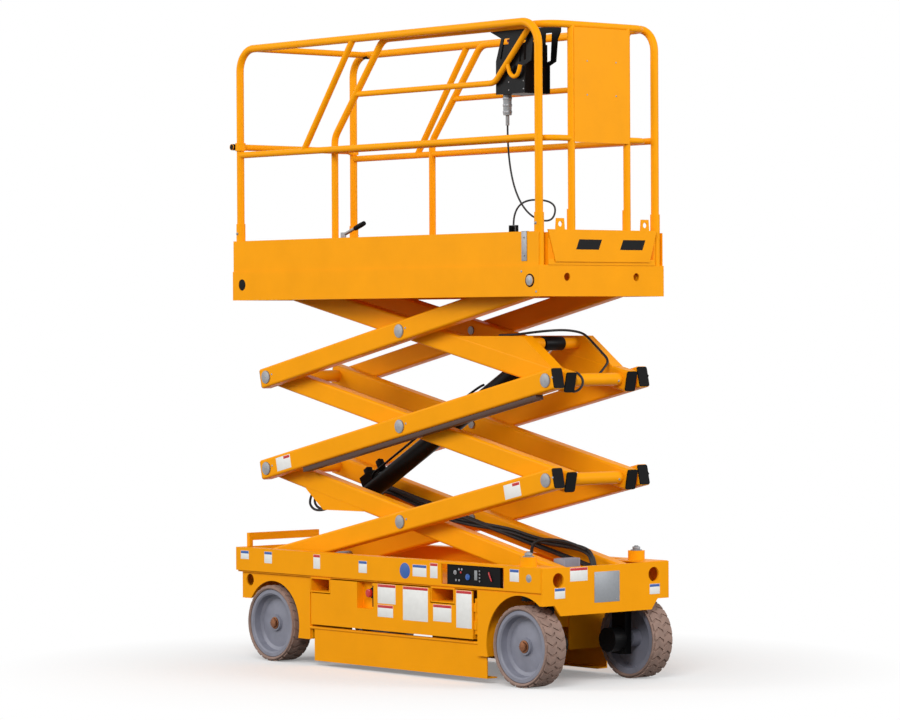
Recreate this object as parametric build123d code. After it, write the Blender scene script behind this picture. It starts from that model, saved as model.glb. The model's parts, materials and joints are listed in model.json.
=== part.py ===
from build123d import *
import os
from math import cos, pi, radians, sin, sqrt

os.makedirs("parts", exist_ok=True)

# A narrow electric scissor lift. X is forward, towards the steered wheels, Y is left and Z is up.
# Pieces are drawn about the middle of the chassis and saved about the middle of the whole box. Sizes are in mm.

# Driving sizes
chassis_length = 2314.0
overall_width = 810.0
chassis_top = 562.0
wheel_radius = 190.5
wheel_width = 127.0
arm_angle = 12.393
arm_height = 100.0
arm_width = 68.0

# Thicknesses and clearances
plate = 8.0
sheet = 6.0
thin_sheet = 4.0
nose_sheet = 10.0
gap = 5.0
wide_gap = 10.0
pin_clearance = 0.05
cut_over = 1.0

# Wheels and steering
front_overhang = 160.0
rear_overhang = 280.0
rim_radius = 170.0
rim_inset = 7.0
rim_dish = 44.0
rim_lip_share = 0.885
rim_wall_share = 0.80
hub_share = 0.25
hub_set = 24.0
axle_radius = 20.0
axle_end_inset = 21.0
axle_beam_half = 45.0
axle_beam_foot = 142.5
kingpin_inset = 60.0
kingpin_radius = 22.0
kingpin_boss_radius = 40.0
kingpin_boss_rise = 43.0
leg_width = 40.0
leg_length = 90.0
leg_gap = 12.0
leg_drop = 70.0
yoke_sheet = 30.0
yoke_radius = 34.0
housing_roof = 12.0
motor_radius = 58.0
motor_length = 74.0

# Chassis
rail_height = 116.0
rail_flange = 60.0
spine_inset = 280.0
spine_height = 198.0
nose_beam_foot = 340.0
nose_beam_height = 42.0
nose_web = 30.0
rear_panel_inset = 18.0
front_panel_inset = 5.0
arch_gap = 21.5
front_arch_half_length = 236.0
front_arch_height = 238.0
panel_foot = 128.0
rear_panel_foot = 306.0
rear_panel_set = 32.0
bulkhead_foot = 130.0
rear_bulkhead_set = 300.0
front_bulkhead_set = 244.0
rear_plate_foot = 300.0
rear_plate_inset = 60.0
nose_foot = 336.0
nose_shoulder = 386.0
nose_shoulder_inset = 75.0
nose_foot_inset = 115.0
lash_hole_radius = 34.0
lash_hole_inset = 100.0
lash_hole_drop = 60.0
rear_lash_radius = 30.0
rear_lash_inset = 94.0
rear_lash_height = 399.0
pocket_height = 72.0
rear_pocket_width = 154.0
front_pocket_width = 171.0
rear_pocket_set = 23.0
front_pocket_set = 218.0
control_recess_length = 446.0
control_recess_set = 106.0
control_margin = 34.0
control_panel_depth = 18.0
corner_deck_length = 239.0
corner_deck_inset = 143.0
ladder_half_share = 0.47
ladder_bar = 30.0
ladder_foot = 215.0
ladder_top = 540.0
ladder_rung = 26.0
ladder_reach = 28.0
ladder_rung_pitch = 143.0
ladder_rung_foot = 222.0
grab_bar_height = 38.0
grab_bar_rise = 69.0
grab_bar_depth = 22.0
grab_bar_inset = 71.0
grab_bar_far = 119.0

# Side trays and pothole guards
tray_foot = 206.0
tray_depth = 140.0
tray_set = 61.0
tray_rear_gap = 30.0
tray_end_height = 134.0
tray_lip_height = 54.0
hinge_radius = 6.0
hinge_wall = 4.0
hinge_set = 8.0
hinge_eye = 40.0
hinge_lug = 16.0
hinge_foot = 24.0
hinge_head = 40.0
hinge_eye_set = 22.0
stop_recess_width = 118.0
stop_recess_depth = 40.0
stop_recess_foot = 306.0
stop_recess_shift = 110.0
battery_rear_gap = 83.0
battery_front_gap = 41.0
battery_height = 144.0
guard_foot = 25.0
guard_height = 170.0
guard_inset = 19.0
guard_lip = 64.0
guard_pin_radius = 8.0
guard_end_gap = 25.0

# Scissor stack
pivot_drop = 62.7
front_pivot_inset = 80.4
rear_pivot_inset = 130.2
outer_arm_inset = 133.0
arm_overhang = 46.0
arm_edge = 12.0
cap_sheet = 6.0
cap_margin = 3.0
shaft_radius = 20.0
shaft_head_radius = 32.5
shaft_head = 5.0
tube_radius = 30.0
tube_bore = 24.0
end_disc_radius = 44.0
roller_radius = 44.0
roller_width = 44.0
roller_inset = 35.0
pivot_plate = 24.0
pivot_plate_half = 42.0
pivot_plate_rise = 34.0
pivot_pin_reach = 30.0
stub_pin_reach = 8.0
hose_radius = 9.0
hose_gap = 2.0
hose_bend = 25.0

# Lift cylinder: places along the lowest and highest inner arm, and distances off their middle lines
cylinder_low_share = 0.816
cylinder_low_drop = 79.3
cylinder_high_share = 0.1485
cylinder_high_rise = 102.6
barrel_radius = 46.0
barrel_collar = 3.0
barrel_collar_length = 60.0
rod_radius = 30.0
rod_fit = 0.5
barrel_start = 70.0
barrel_end_gap = 270.0
rod_start = 285.0
eye_radius = 32.0
eye_width = 120.0
stub_radius = 27.0
bracket_root = 20.0
low_bracket_rear = 160.0
low_bracket_front = 301.0
low_bracket_tip = -4.0
low_bracket_reach = 40.0
high_bracket_rear = 409.0
high_bracket_front = 262.0
high_bracket_tip = 33.0
high_bracket_reach = 44.0
cylinder_pin_reach = 94.0
valve_length = 90.0
valve_width = 68.0
valve_height = 48.0
valve_sink = 12.0

# Platform
platform_rear_reach = 19.0
platform_front_inset = 21.0
platform_side_inset = 5.0
platform_drop = 73.8
floor_rise = 71.2
floor_sheet = 5.0
toe_height = 155.0
track_gap = 2.0
track_reach = 160.0
front_pivot_half = 40.0
front_pivot_drop = 45.0
front_disc_radius = 24.0
side_hole_radius = 29.0
side_hole_inset = 76.0
nose_hole_radius = 19.0
nose_hole_inset = 179.0
nose_hole_drop = 55.0
post_radius = 19.0
rail_radius = 16.0
socket_radius = 23.0
socket_height = 243.0
post_side_inset = 30.0
rear_post_inset = 31.0
front_post_inset = 27.0
top_rail_rise = 1125.0
mid_rail_rise = 591.0
rail_bend = 110.0
brace_foot_set = 514.0
brace_run = 395.0
gate_rise = 633.0
gate_set = 1.0
collar_wall = 7.0
collar_height = 40.0
collar_fit = 0.4

# Roll-out extension
slide_fit = 0.3
extension_share = 0.7
extension_side_inset = 60.0
extension_floor = 26.0
extension_toe_rise = 151.0
ext_rail_inset = 24.0
ext_rail_radius = 17.0
ext_bar_radius = 14.0
ext_rail_rise = 1115.0
ext_rail_bend = 90.0
ext_bar_bend = 70.0
ext_post_set = 32.0
ext_knee_rise = 653.0
ext_knee_run = 378.0
ext_bar_rise = 858.0
ext_bar_front_set = 393.0
ext_bar_end_set = 138.0
ext_front_inset = 15.0
ext_front_bar_rise = 588.0
ext_socket_wall = 3.0
ext_socket_inset = 4.0
ext_socket_rise = 260.0
front_post_share = 0.56
panel_sheet = 3.0
panel_foot_rise = 570.0
panel_top_rise = 1103.0
nose_toe_foot_rise = 15.0
nose_toe_top_rise = 164.0
nose_toe_slant = 47.0
nose_toe_flare = 7.0
nose_toe_gap = 3.0
ear_foot_rise = 143.0
ear_rise = 216.0
ear_half = 30.0
ear_top_half = 24.0
ear_inset = 70.0
ear_hole_radius = 13.0
ear_hole_rise = 189.0
lever_set = 98.0
lever_rise = 171.0
lever_run = 155.0
lever_climb = 54.0
lever_radius = 8.0
lever_plate_length = 32.0
lever_plate_height = 80.0
lever_plate_sheet = 10.0
lever_plate_rise = 103.0

# Platform control box and its cable
box_set = 402.8
box_depth = 155.0
box_sheet = 5.0
box_foot_rise = 804.0
# Side plate corners, and corners of its two hand holes, as steps forward and up from the plate's rear foot
box_outline = (
    (0.0, 0.0),
    (202.0, 0.0),
    (203.0, 130.0),
    (247.0, 148.0),
    (259.0, 251.0),
    (281.0, 287.0),
    (281.0, 316.0),
    (-38.0, 311.0),
    (-35.0, 294.0),
    (38.0, 261.0),
    (1.0, 156.0),
)
rear_hand_hole = ((31.0, 164.0), (57.0, 259.0), (97.0, 259.0), (71.0, 164.0))
front_hand_hole = ((165.0, 144.0), (177.0, 284.0), (221.0, 284.0), (211.0, 154.0))
console_length = 170.0
console_margin = 20.0
console_height = 229.0
plug_set = 36.0
plug_side = 40.0
plug_radius = 20.0
plug_length = 96.0
relief_radius = 9.0
relief_length = 48.0
gland_set = 150.0
gland_rise = 188.0
gland_height = 58.0
gland_length = 46.0
gland_depth = 20.0
cable_radius = 4.5
cable_bend = 38.0
# Cable corners as steps forward, inward and up from the plug's end
cable_steps = ((0.0, 0.0, -200.0), (122.0, -9.0, -419.0), (292.0, 19.0, -471.0), (304.0, 34.0, -357.0))
cable_drop = 118.0

# Derived places
half_width = overall_width / 2
front_x = chassis_length / 2
rear_x = -chassis_length / 2
front_axle_x = front_x - front_overhang
rear_axle_x = rear_x + rear_overhang
wheel_z = wheel_radius
wheel_y = half_width - wheel_width / 2
wheel_inner_y = half_width - wheel_width
kingpin_y = half_width - kingpin_inset
kingpin_boss_top = chassis_top + kingpin_boss_rise
rail_web = half_width - plate
rail_floor = chassis_top - rail_height
rail_roof = chassis_top - sheet
deck_top = rail_floor
deck_bottom = deck_top - plate
knuckle_top = deck_bottom - sheet
spine_half = half_width - spine_inset
beam_bottom = deck_bottom - spine_height
rear_panel_y = half_width - rear_panel_inset
front_panel_y = half_width - front_panel_inset
nose_x = front_x - nose_sheet
tail_x = rear_x + plate
bulkhead_rear_x = rear_axle_x + rear_bulkhead_set
bulkhead_front_x = front_axle_x - front_bulkhead_set
rear_pocket_x = bulkhead_rear_x + rear_pocket_set
front_pocket_x = bulkhead_front_x - front_pocket_set
pockets_x = (
    (rear_pocket_x, rear_pocket_x + rear_pocket_width),
    (front_pocket_x - front_pocket_width, front_pocket_x),
)
control_front_x = front_axle_x - control_recess_set
control_rear_x = control_front_x - control_recess_length
tray_hinge_x = bulkhead_front_x - tray_set
tray_rear_x = bulkhead_rear_x + tray_rear_gap
stop_x = (pockets_x[0][1] + pockets_x[1][0]) / 2 - stop_recess_shift
guard_y = half_width - guard_inset
guard_top = guard_foot + guard_height
guard_pin_y = guard_y - sheet / 2
guard_pin_z = guard_top - guard_pin_radius

# Places in the scissor stack: four levels of pins and three crossings
outer_arm_y = half_width - outer_arm_inset
inner_arm_y = outer_arm_y - arm_width - wide_gap
inner_inside = inner_arm_y - arm_width / 2
head_out = outer_arm_y + arm_width / 2
roller_y = half_width - roller_inset
pin_front_x = front_x - front_pivot_inset
pin_rear_x = rear_x + rear_pivot_inset
stack_x = (pin_front_x + pin_rear_x) / 2
lean_cos = cos(radians(arm_angle))
lean_sin = sin(radians(arm_angle))
arm_pitch = (pin_front_x - pin_rear_x) / lean_cos
half_arm = arm_pitch / 2
stage_rise = arm_pitch * lean_sin
levels = [chassis_top - pivot_drop + stage_rise * k for k in range(4)]
mids = [(levels[k] + levels[k + 1]) / 2 for k in range(3)]


def on_arm(stage, share, rise):
    run = arm_pitch * share
    x = pin_front_x - run * lean_cos + rise * lean_sin
    return (x, levels[stage] + run * lean_sin + rise * lean_cos)


cylinder_low = on_arm(0, cylinder_low_share, -cylinder_low_drop)
cylinder_high = on_arm(2, cylinder_high_share, cylinder_high_rise)

# Places on the platform and its extension
pin_z = levels[3]
platform_rear = rear_x - platform_rear_reach
platform_front = front_x - platform_front_inset
platform_half_width = half_width - platform_side_inset
platform_bottom = pin_z - platform_drop
floor_top = pin_z + floor_rise
floor_low = floor_top - floor_sheet
wall_y = platform_half_width - plate
main_rail_y = platform_half_width - post_side_inset
main_rear_post_x = platform_rear + rear_post_inset
main_front_post_x = platform_front - front_post_inset
top_rail_z = floor_top + top_rail_rise
mid_rail_z = floor_top + mid_rail_rise
gate_x = platform_rear + gate_set
gate_z = floor_top + gate_rise
extension_rear = platform_front - extension_share * (platform_front - platform_rear)
ext_y = platform_half_width - extension_side_inset
ext_board_y = ext_y - thin_sheet
ext_rail_y = ext_y - ext_rail_inset
ext_low = floor_top + slide_fit
ext_top = ext_low + extension_floor
ext_front_x = platform_front - ext_front_inset
ext_rail_top = floor_top + ext_rail_rise
ext_post_y = front_post_share * ext_rail_y
toe_plate_x = platform_front + nose_toe_gap

# The box is centred on the origin: tyres lead at the front, the ladder or the gate bar at the rear
rearmost_x = min(gate_x - rail_radius, rear_x - ladder_bar)
foremost_x = max(front_axle_x + wheel_radius, toe_plate_x + sheet)
frame_shift = -(rearmost_x + foremost_x) / 2


def box(x0, x1, y0, y1, z0, z1):
    return Pos((x0 + x1) / 2, (y0 + y1) / 2, (z0 + z1) / 2) * Box(abs(x1 - x0), abs(y1 - y0), abs(z1 - z0))


def rod_y(x, y0, y1, z, r):
    return Pos(x, (y0 + y1) / 2, z) * Rot(90, 0, 0) * Cylinder(r, abs(y1 - y0))


def rod_x(x0, x1, y, z, r):
    return Pos((x0 + x1) / 2, y, z) * Rot(0, 90, 0) * Cylinder(r, abs(x1 - x0))


def rod_z(x, y, z0, z1, r):
    return Pos(x, y, (z0 + z1) / 2) * Cylinder(r, abs(z1 - z0))


def pipe(points, radius, bend=None):
    path = FilletPolyline(*points, radius=bend) if bend else Polyline(*points)
    return sweep(Plane(origin=path @ 0, z_dir=path % 0) * Circle(radius), path=path)


def sheet_xz(points, y0, y1):
    face = make_face(Polyline(*[(x, y0, z) for x, z in points], close=True))
    return extrude(face, amount=y1 - y0, dir=(0, 1, 0))


def sheet_yz(points, x0, x1):
    face = make_face(Polyline(*[(x0, y, z) for y, z in points], close=True))
    return extrude(face, amount=x1 - x0, dir=(1, 0, 0))


def mirror_y(shape):
    return mirror(shape, about=Plane.XZ)


def join(*shapes):
    whole = shapes[0]
    for s in shapes[1:]:
        whole = whole + s
    return whole


def save(name, *shapes):
    solids = []
    for s in shapes:
        solids.extend(s.solids())
    solids = [Pos(frame_shift, 0, 0) * s for s in solids]
    made = solids[0] if len(solids) == 1 else Compound(children=solids)
    made.label = name
    export_step(made, "parts/" + name + ".step")


# Chassis side rails: channels that open inward, where the lower rollers run
flange_y = half_width - rail_flange
rail_section = [
    (-half_width, rail_floor),
    (-half_width, chassis_top),
    (-flange_y, chassis_top),
    (-flange_y, rail_roof),
    (-rail_web, rail_roof),
    (-rail_web, rail_floor + sheet),
    (-flange_y, rail_floor + sheet),
    (-flange_y, rail_floor),
]
rail = sheet_yz(rail_section, tail_x, nose_x)
rail = rail - rod_z(front_axle_x, -kingpin_y, rail_floor - gap, chassis_top + gap, kingpin_boss_radius)
recess = box(
    control_rear_x,
    control_front_x,
    -half_width - cut_over,
    -rail_web,
    rail_floor + sheet + thin_sheet,
    rail_roof - thin_sheet,
)
save("chassis_side_rails", rail - recess, mirror_y(rail))

# Ground control panel in the right rail
control_panel = box(
    control_rear_x + control_margin,
    control_front_x - control_margin,
    -rail_web,
    -rail_web + control_panel_depth,
    rail_floor + sheet,
    rail_roof,
)
save("ground_controls", control_panel)

# Front plate with notched corners and lashing holes
nose_half = half_width - thin_sheet / 2
nose_top = chassis_top - thin_sheet / 2
nose_points = [
    (nose_half, nose_top),
    (nose_half, nose_shoulder),
    (half_width - nose_shoulder_inset, nose_shoulder),
    (half_width - nose_foot_inset, nose_foot),
]
nose_points = nose_points + [(-y, z) for y, z in reversed(nose_points)]
nose = sheet_yz(nose_points, nose_x, front_x)
lash_y = half_width - lash_hole_inset
for s in (-1, 1):
    nose = nose - rod_x(nose_x - gap, front_x + gap, s * lash_y, chassis_top - lash_hole_drop, lash_hole_radius)
save("chassis_front_plate", nose)

# Rear plate
tail_half = half_width - cut_over
tail_low = half_width - rear_plate_inset
tail_points = [(tail_half, chassis_top), (tail_half, rail_floor), (tail_low, rail_floor), (tail_low, rear_plate_foot)]
tail_points = tail_points + [(-y, z) for y, z in reversed(tail_points)]
save("chassis_rear_plate", sheet_yz(tail_points, rear_x, tail_x))

# Deck plate that the rails stand on
deck = box(tail_x, nose_x, -rail_web, rail_web, deck_bottom, deck_top)
for s in (-1, 1):
    hole_radius = kingpin_radius + thin_sheet
    deck = deck - rod_z(front_axle_x, s * kingpin_y, deck_bottom - gap, deck_top + gap, hole_radius)
save("chassis_deck", deck)

# Centre beam under the deck, notched for the fork pockets and lower between the steered wheels
beam = box(tail_x, bulkhead_front_x, -spine_half, spine_half, beam_bottom, deck_bottom)
pocket_low = deck_bottom - pocket_height
for x0, x1 in pockets_x:
    beam = beam - box(x0, x1, -spine_half - gap, spine_half + gap, pocket_low, deck_bottom + gap)
nose_beam_top = nose_beam_foot + nose_beam_height
nose_beam = box(bulkhead_front_x, nose_x, -spine_half, spine_half, nose_beam_foot, nose_beam_top)
nose_post = box(nose_x - nose_web, nose_x, -spine_half, spine_half, nose_beam_top, deck_bottom)
save("chassis_beam", join(beam, nose_beam, nose_post))


# Bulkheads on both sides of the beam, with the bores of the guard pins
def bulkhead(x, y_out):
    wing = box(x, x + plate, -y_out + plate, -spine_half, bulkhead_foot, deck_bottom)
    return wing - rod_x(x - gap, x + plate + gap, -guard_pin_y, guard_pin_z, guard_pin_radius + pin_clearance)


wings = [bulkhead(bulkhead_rear_x, rear_panel_y), bulkhead(bulkhead_front_x, front_panel_y)]
save("chassis_bulkheads", *wings, *[mirror_y(w) for w in wings])

# Fork pockets: tubes across the chassis under the deck
pocket_half = half_width - thin_sheet / 2
pockets = []
for x0, x1 in pockets_x:
    outside = box(x0, x1, -pocket_half, pocket_half, pocket_low, deck_bottom)
    inside = box(x0 + sheet, x1 - sheet, -half_width, half_width, pocket_low + sheet, deck_bottom - sheet)
    pockets.append(outside - inside)
save("fork_pockets", *pockets)

# Wheel arch panels, rear pair and front pair, with the tray hinge pins on the front pair
panel_in = -rear_panel_y + plate
rear_panel = box(rear_x + rear_panel_set, bulkhead_rear_x, -rear_panel_y, panel_in, panel_foot, deck_bottom)
rear_panel = rear_panel - rod_y(rear_axle_x, -half_width, panel_in + gap, wheel_z, wheel_radius + arch_gap)
rear_panel = rear_panel - box(rear_x, rear_axle_x, -half_width, panel_in + gap, 0, rear_panel_foot)
lash_x = rear_x + rear_lash_inset
rear_panel = rear_panel - rod_y(lash_x, -half_width, panel_in + gap, rear_lash_height, rear_lash_radius)
arch_place = Pos(front_axle_x, -front_panel_y + plate / 2, wheel_z) * Rot(90, 0, 0)
arch = arch_place * extrude(Ellipse(front_arch_half_length, front_arch_height), amount=plate, both=True)
strip_x = tray_hinge_x + gap
front_arch = box(strip_x, nose_x, -front_panel_y, -front_panel_y + plate, bulkhead_foot, deck_bottom) - arch
front_arch = front_arch - box(front_axle_x, nose_x, -half_width, -front_panel_y + plate + gap, 0, nose_shoulder)
front_arch = front_arch.solids().sort_by(SortBy.VOLUME)[-1]
hinge_y = half_width - hinge_radius - hinge_wall - cut_over
hinge_x = tray_hinge_x - hinge_set
hinge_low = tray_foot + hinge_foot
hinge_high = deck_bottom - hinge_head
hinge_lugs = [rod_z(hinge_x, -hinge_y, hinge_low, hinge_high, hinge_radius)]
for z0 in (hinge_low, (hinge_low + hinge_high - hinge_lug) / 2, hinge_high - hinge_lug):
    lug_half = hinge_radius / 2
    lug_x = strip_x + gap / 2
    hinge_lugs.append(box(hinge_x, lug_x, -hinge_y - lug_half, -hinge_y + lug_half, z0, z0 + hinge_lug))
front_arch = join(front_arch, *hinge_lugs)
save("wheel_panels", rear_panel, mirror_y(rear_panel), front_arch, mirror_y(front_arch))

# Front corner decks with the kingpin housings
corner_in = half_width - corner_deck_inset
corner = box(nose_x - corner_deck_length, nose_x, -flange_y, -corner_in, rail_roof, chassis_top)
corner = corner + rod_z(front_axle_x, -kingpin_y, deck_top, kingpin_boss_top, kingpin_boss_radius)
socket_bore = kingpin_radius + pin_clearance
bore_top = kingpin_boss_top - housing_roof
corner = corner - rod_z(front_axle_x, -kingpin_y, deck_top - gap, bore_top, socket_bore)
save("front_corner_decks", corner, mirror_y(corner))

# Rear axle
beam_y = wheel_inner_y - leg_gap
axle_x0 = rear_axle_x - axle_beam_half
axle_beam = box(axle_x0, axle_x0 + 2 * axle_beam_half, -beam_y, beam_y, axle_beam_foot, beam_bottom)
axle_end_y = half_width - axle_end_inset
save("rear_axle", axle_beam + rod_y(rear_axle_x, -axle_end_y, axle_end_y, wheel_z, axle_radius))

# Rear ladder and grab bar
ladder_y = ladder_half_share * half_width
ladder = []
for s in (-1, 1):
    y0 = s * ladder_y - ladder_bar / 2
    ladder.append(box(rear_x - ladder_reach, rear_x, y0, y0 + ladder_bar, ladder_foot, ladder_top))
for k in range(3):
    z0 = ladder_rung_foot + k * ladder_rung_pitch
    ladder.append(box(rear_x - ladder_bar, rear_x - thin_sheet / 2, -ladder_y, ladder_y, z0, z0 + ladder_rung))
grab_y = half_width - grab_bar_inset
grab_top = chassis_top + grab_bar_rise
grab = [box(rear_x, rear_x + grab_bar_depth, -grab_y, grab_bar_far, grab_top - grab_bar_height, grab_top)]
for y0 in (-grab_y, grab_bar_far - grab_bar_depth):
    grab.append(box(rear_x, rear_x + grab_bar_depth, y0, y0 + grab_bar_depth, chassis_top, grab_top))
save("rear_ladder", join(*ladder), join(*grab))


# Side trays that swing out
def tray(side_recess):
    y_out = -half_width
    y_in = y_out + tray_depth
    x1 = hinge_x - hinge_radius - hinge_wall - thin_sheet
    top = deck_bottom - gap
    end_top = tray_foot + tray_end_height
    skin = box(tray_rear_x, x1, y_out, y_out + sheet, tray_foot, top)
    shelf = box(tray_rear_x, x1, y_out, y_in, tray_foot, tray_foot + sheet)
    rear_end = box(tray_rear_x, tray_rear_x + sheet, y_out, y_in, tray_foot, end_top)
    front_end = box(x1 - sheet, x1, y_out, y_in, tray_foot, end_top)
    lip = box(tray_rear_x, x1, y_in - sheet, y_in, tray_foot, tray_foot + tray_lip_height)
    body = join(skin, shelf, lip, rear_end, front_end)
    for x0, x2 in pockets_x:
        body = body - box(x0 - gap, x2 + gap, y_out - gap, y_in, pocket_low - gap, deck_bottom)
    if side_recess:
        x0 = stop_x - stop_recess_width / 2
        x2 = stop_x + stop_recess_width / 2
        y_back = y_out + stop_recess_depth
        body = body - box(x0, x2, y_out - gap, y_out + sheet, stop_recess_foot, deck_bottom)
        shell = box(
            x0 - thin_sheet,
            x2 + thin_sheet,
            y_out + thin_sheet / 2,
            y_back + thin_sheet,
            stop_recess_foot - thin_sheet,
            top,
        )
        body = join(body, shell - box(x0, x2, y_out, y_back, stop_recess_foot, deck_bottom))
    for z0 in (hinge_low + hinge_eye_set, hinge_high - hinge_eye_set - hinge_eye):
        ring = rod_z(hinge_x, -hinge_y, z0, z0 + hinge_eye, hinge_radius + hinge_wall)
        tongue = box(x1 - sheet, hinge_x, -hinge_y - gap, -hinge_y + gap, z0, z0 + hinge_eye)
        bore = rod_z(hinge_x, -hinge_y, z0 - gap, z0 + hinge_eye + gap, hinge_radius + pin_clearance)
        body = body + (join(ring, tongue) - bore)
    return body


save("tray_right", tray(True))
save("tray_left", mirror_y(tray(False)))
battery_y0 = half_width - tray_depth + sheet + thin_sheet / 2
battery_x0 = pockets_x[0][1] + battery_rear_gap
battery_x1 = pockets_x[1][0] - battery_front_gap
battery_low = tray_foot + sheet
save(
    "battery_pack",
    box(battery_x0, battery_x1, battery_y0, half_width - sheet, battery_low, battery_low + battery_height),
)

# Pothole guards, hinged along their top edge
guard_x0 = bulkhead_rear_x + plate + guard_end_gap
guard_x1 = bulkhead_front_x - gap
pin_x0 = bulkhead_rear_x + cut_over
pin_x1 = bulkhead_front_x + plate - cut_over
guard = join(
    box(guard_x0, guard_x1, -guard_y, -guard_y + sheet, guard_foot, guard_top),
    box(guard_x0, guard_x1, -guard_y, -guard_y + guard_lip, guard_foot, guard_foot + sheet),
    rod_x(pin_x0, pin_x1, -guard_pin_y, guard_pin_z, guard_pin_radius),
)
save("pothole_guard_right", guard)
save("pothole_guard_left", mirror_y(guard))


# Steering knuckles: kingpin, yoke over the wheel, inboard leg, stub axle and drive motor
def knuckle():
    x = front_axle_x
    leg_y1 = wheel_inner_y - leg_gap
    leg_y0 = leg_y1 - leg_width
    leg_half = leg_length / 2
    yoke_low = knuckle_top - yoke_sheet
    return join(
        rod_z(x, -kingpin_y, yoke_low, kingpin_boss_top - housing_roof - thin_sheet, kingpin_radius),
        rod_z(x, -kingpin_y, yoke_low, knuckle_top, yoke_radius),
        box(x - yoke_radius, x + yoke_radius, -kingpin_y, -leg_y0, yoke_low, knuckle_top),
        box(x - leg_half, x + leg_half, -leg_y1, -leg_y0, wheel_z - leg_drop, knuckle_top),
        rod_y(x, -axle_end_y, -leg_y0, wheel_z, axle_radius),
        rod_y(x, -leg_y0, -leg_y0 + motor_length, wheel_z, motor_radius),
    )


save("knuckle_right", knuckle())
save("knuckle_left", mirror_y(knuckle()))


# Wheels: rim with a dished face and a bore, and a solid tyre
def rim():
    w = wheel_width / 2 - rim_inset
    bore = axle_radius + pin_clearance
    wall = rim_radius * rim_wall_share
    lip = rim_radius * rim_lip_share
    hub = rim_radius * hub_share
    slant = hub - thin_sheet
    flank = (wall + lip) / 2
    points = [
        (bore, -w + sheet),
        (bore, w - hub_set),
        (slant, w - hub_set),
        (hub, w - rim_dish + plate),
        (wall - 2 * plate, w - rim_dish),
        (wall, w - rim_dish + plate),
        (flank, w - sheet),
        (lip, w),
        (rim_radius - thin_sheet, w),
        (rim_radius, w - thin_sheet),
        (rim_radius, -w + thin_sheet),
        (flank, -w + thin_sheet),
        (wall, -w + rim_dish),
        (hub, -w + rim_dish + plate),
        (slant, -w + sheet),
    ]
    face = make_face(Polyline(*[(r, 0, z) for r, z in points], close=True))
    return revolve(face, Axis.Z)


def tyre():
    w = wheel_width / 2
    seat = w - rim_inset
    bead = w - cut_over
    tread = w - 2 * sheet
    half = [
        (rim_radius, seat),
        (rim_radius + thin_sheet, bead),
        (wheel_radius - wide_gap, w),
        (wheel_radius, tread),
    ]
    points = half + [(r, -z) for r, z in reversed(half)]
    face = make_face(Polyline(*[(r, 0, z) for r, z in points], close=True))
    return revolve(face, Axis.Z)


for end, x in (("front", front_axle_x), ("rear", rear_axle_x)):
    right = Pos(x, -wheel_y, wheel_z) * Rot(90, 0, 0)
    save("wheel_" + end + "_right", right * rim())
    save("tyre_" + end + "_right", right * tyre())
    save("wheel_" + end + "_left", mirror_y(right * rim()))
    save("tyre_" + end + "_left", mirror_y(right * tyre()))


# Scissor arms, made along X about their middle and then turned into place
def arm_tube(y, end_low, end_high):
    x0 = -half_arm - (arm_overhang if end_low == "square" else -wide_gap)
    x1 = half_arm + (arm_overhang if end_high == "square" else -wide_gap)
    bar = box(x0, x1, y - arm_width / 2, y + arm_width / 2, -arm_height / 2, arm_height / 2)
    bar = fillet(bar.edges().filter_by(Axis.X), arm_edge)
    for kind, x in ((end_low, -half_arm), (end_high, half_arm)):
        if kind == "round":
            bar = bar + rod_y(x, y - arm_width / 2, y + arm_width / 2, 0, end_disc_radius)
    return bar


def place(shape, stage, turn):
    return Pos(stack_x, 0, mids[stage]) * Rot(0, turn, 0) * shape


def arm_bores(radius):
    cut = rod_y(-half_arm, -half_width, half_width, 0, radius)
    for x in (0, half_arm):
        cut = cut + rod_y(x, -half_width, half_width, 0, radius)
    return cut


outer_ends = [("round", "square"), ("square", "square"), ("square", "round")]
inner_ends = [("square", "round"), ("square", "square"), ("round", "square")]
cylinder_x = [half_arm - arm_pitch * cylinder_low_share, 0, half_arm - arm_pitch * cylinder_high_share]
cylinder_z = [-cylinder_low_drop, 0, cylinder_high_rise]
brackets = {
    0: (low_bracket_rear, low_bracket_front, low_bracket_tip, low_bracket_reach),
    2: (high_bracket_rear, high_bracket_front, high_bracket_tip, high_bracket_reach),
}
for k in range(3):
    low, high = outer_ends[k]
    bores = arm_bores(shaft_radius)
    if high == "round":
        bores = bores + rod_y(half_arm, -half_width, half_width, 0, shaft_radius + pin_clearance)
    rails = [place(arm_tube(s * outer_arm_y, low, high) - bores, k, -arm_angle) for s in (-1, 1)]
    save("outer_arm_" + str(k + 1), *rails)
    rear, front = inner_ends[k]
    frame = join(arm_tube(-inner_arm_y, rear, front), arm_tube(inner_arm_y, rear, front))
    for x in (-half_arm, half_arm):
        frame = frame + rod_y(x, -inner_inside, inner_inside, 0, tube_radius)
    if k != 1:
        px, pz = cylinder_x[k], cylinder_z[k]
        side = -1 if k == 0 else 1
        rear_foot, front_foot, tip, reach = brackets[k]
        root = side * bracket_root
        face = side * arm_height / 2
        bracket = [
            (px - rear_foot, root),
            (px + front_foot, root),
            (px + front_foot, face),
            (px + tip, pz + side * reach),
            (px - rear_foot, face),
        ]
        for s in (-1, 1):
            frame = frame + rod_y(px, s * (eye_width / 2 + gap), s * inner_arm_y, pz, stub_radius)
            bracket_half = arm_width / 2 - cut_over
            frame = frame + sheet_xz(bracket, s * inner_arm_y - bracket_half, s * inner_arm_y + bracket_half)
        if k == 0:
            frame = frame - rod_y(px, -cylinder_pin_reach, cylinder_pin_reach, pz, shaft_radius + pin_clearance)
    frame = frame - arm_bores(shaft_radius + pin_clearance)
    for x in (-half_arm, half_arm):
        frame = frame - rod_y(x, -inner_inside, inner_inside, 0, tube_bore)
    save("inner_arm_" + str(k + 1), place(frame, k, arm_angle))

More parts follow.
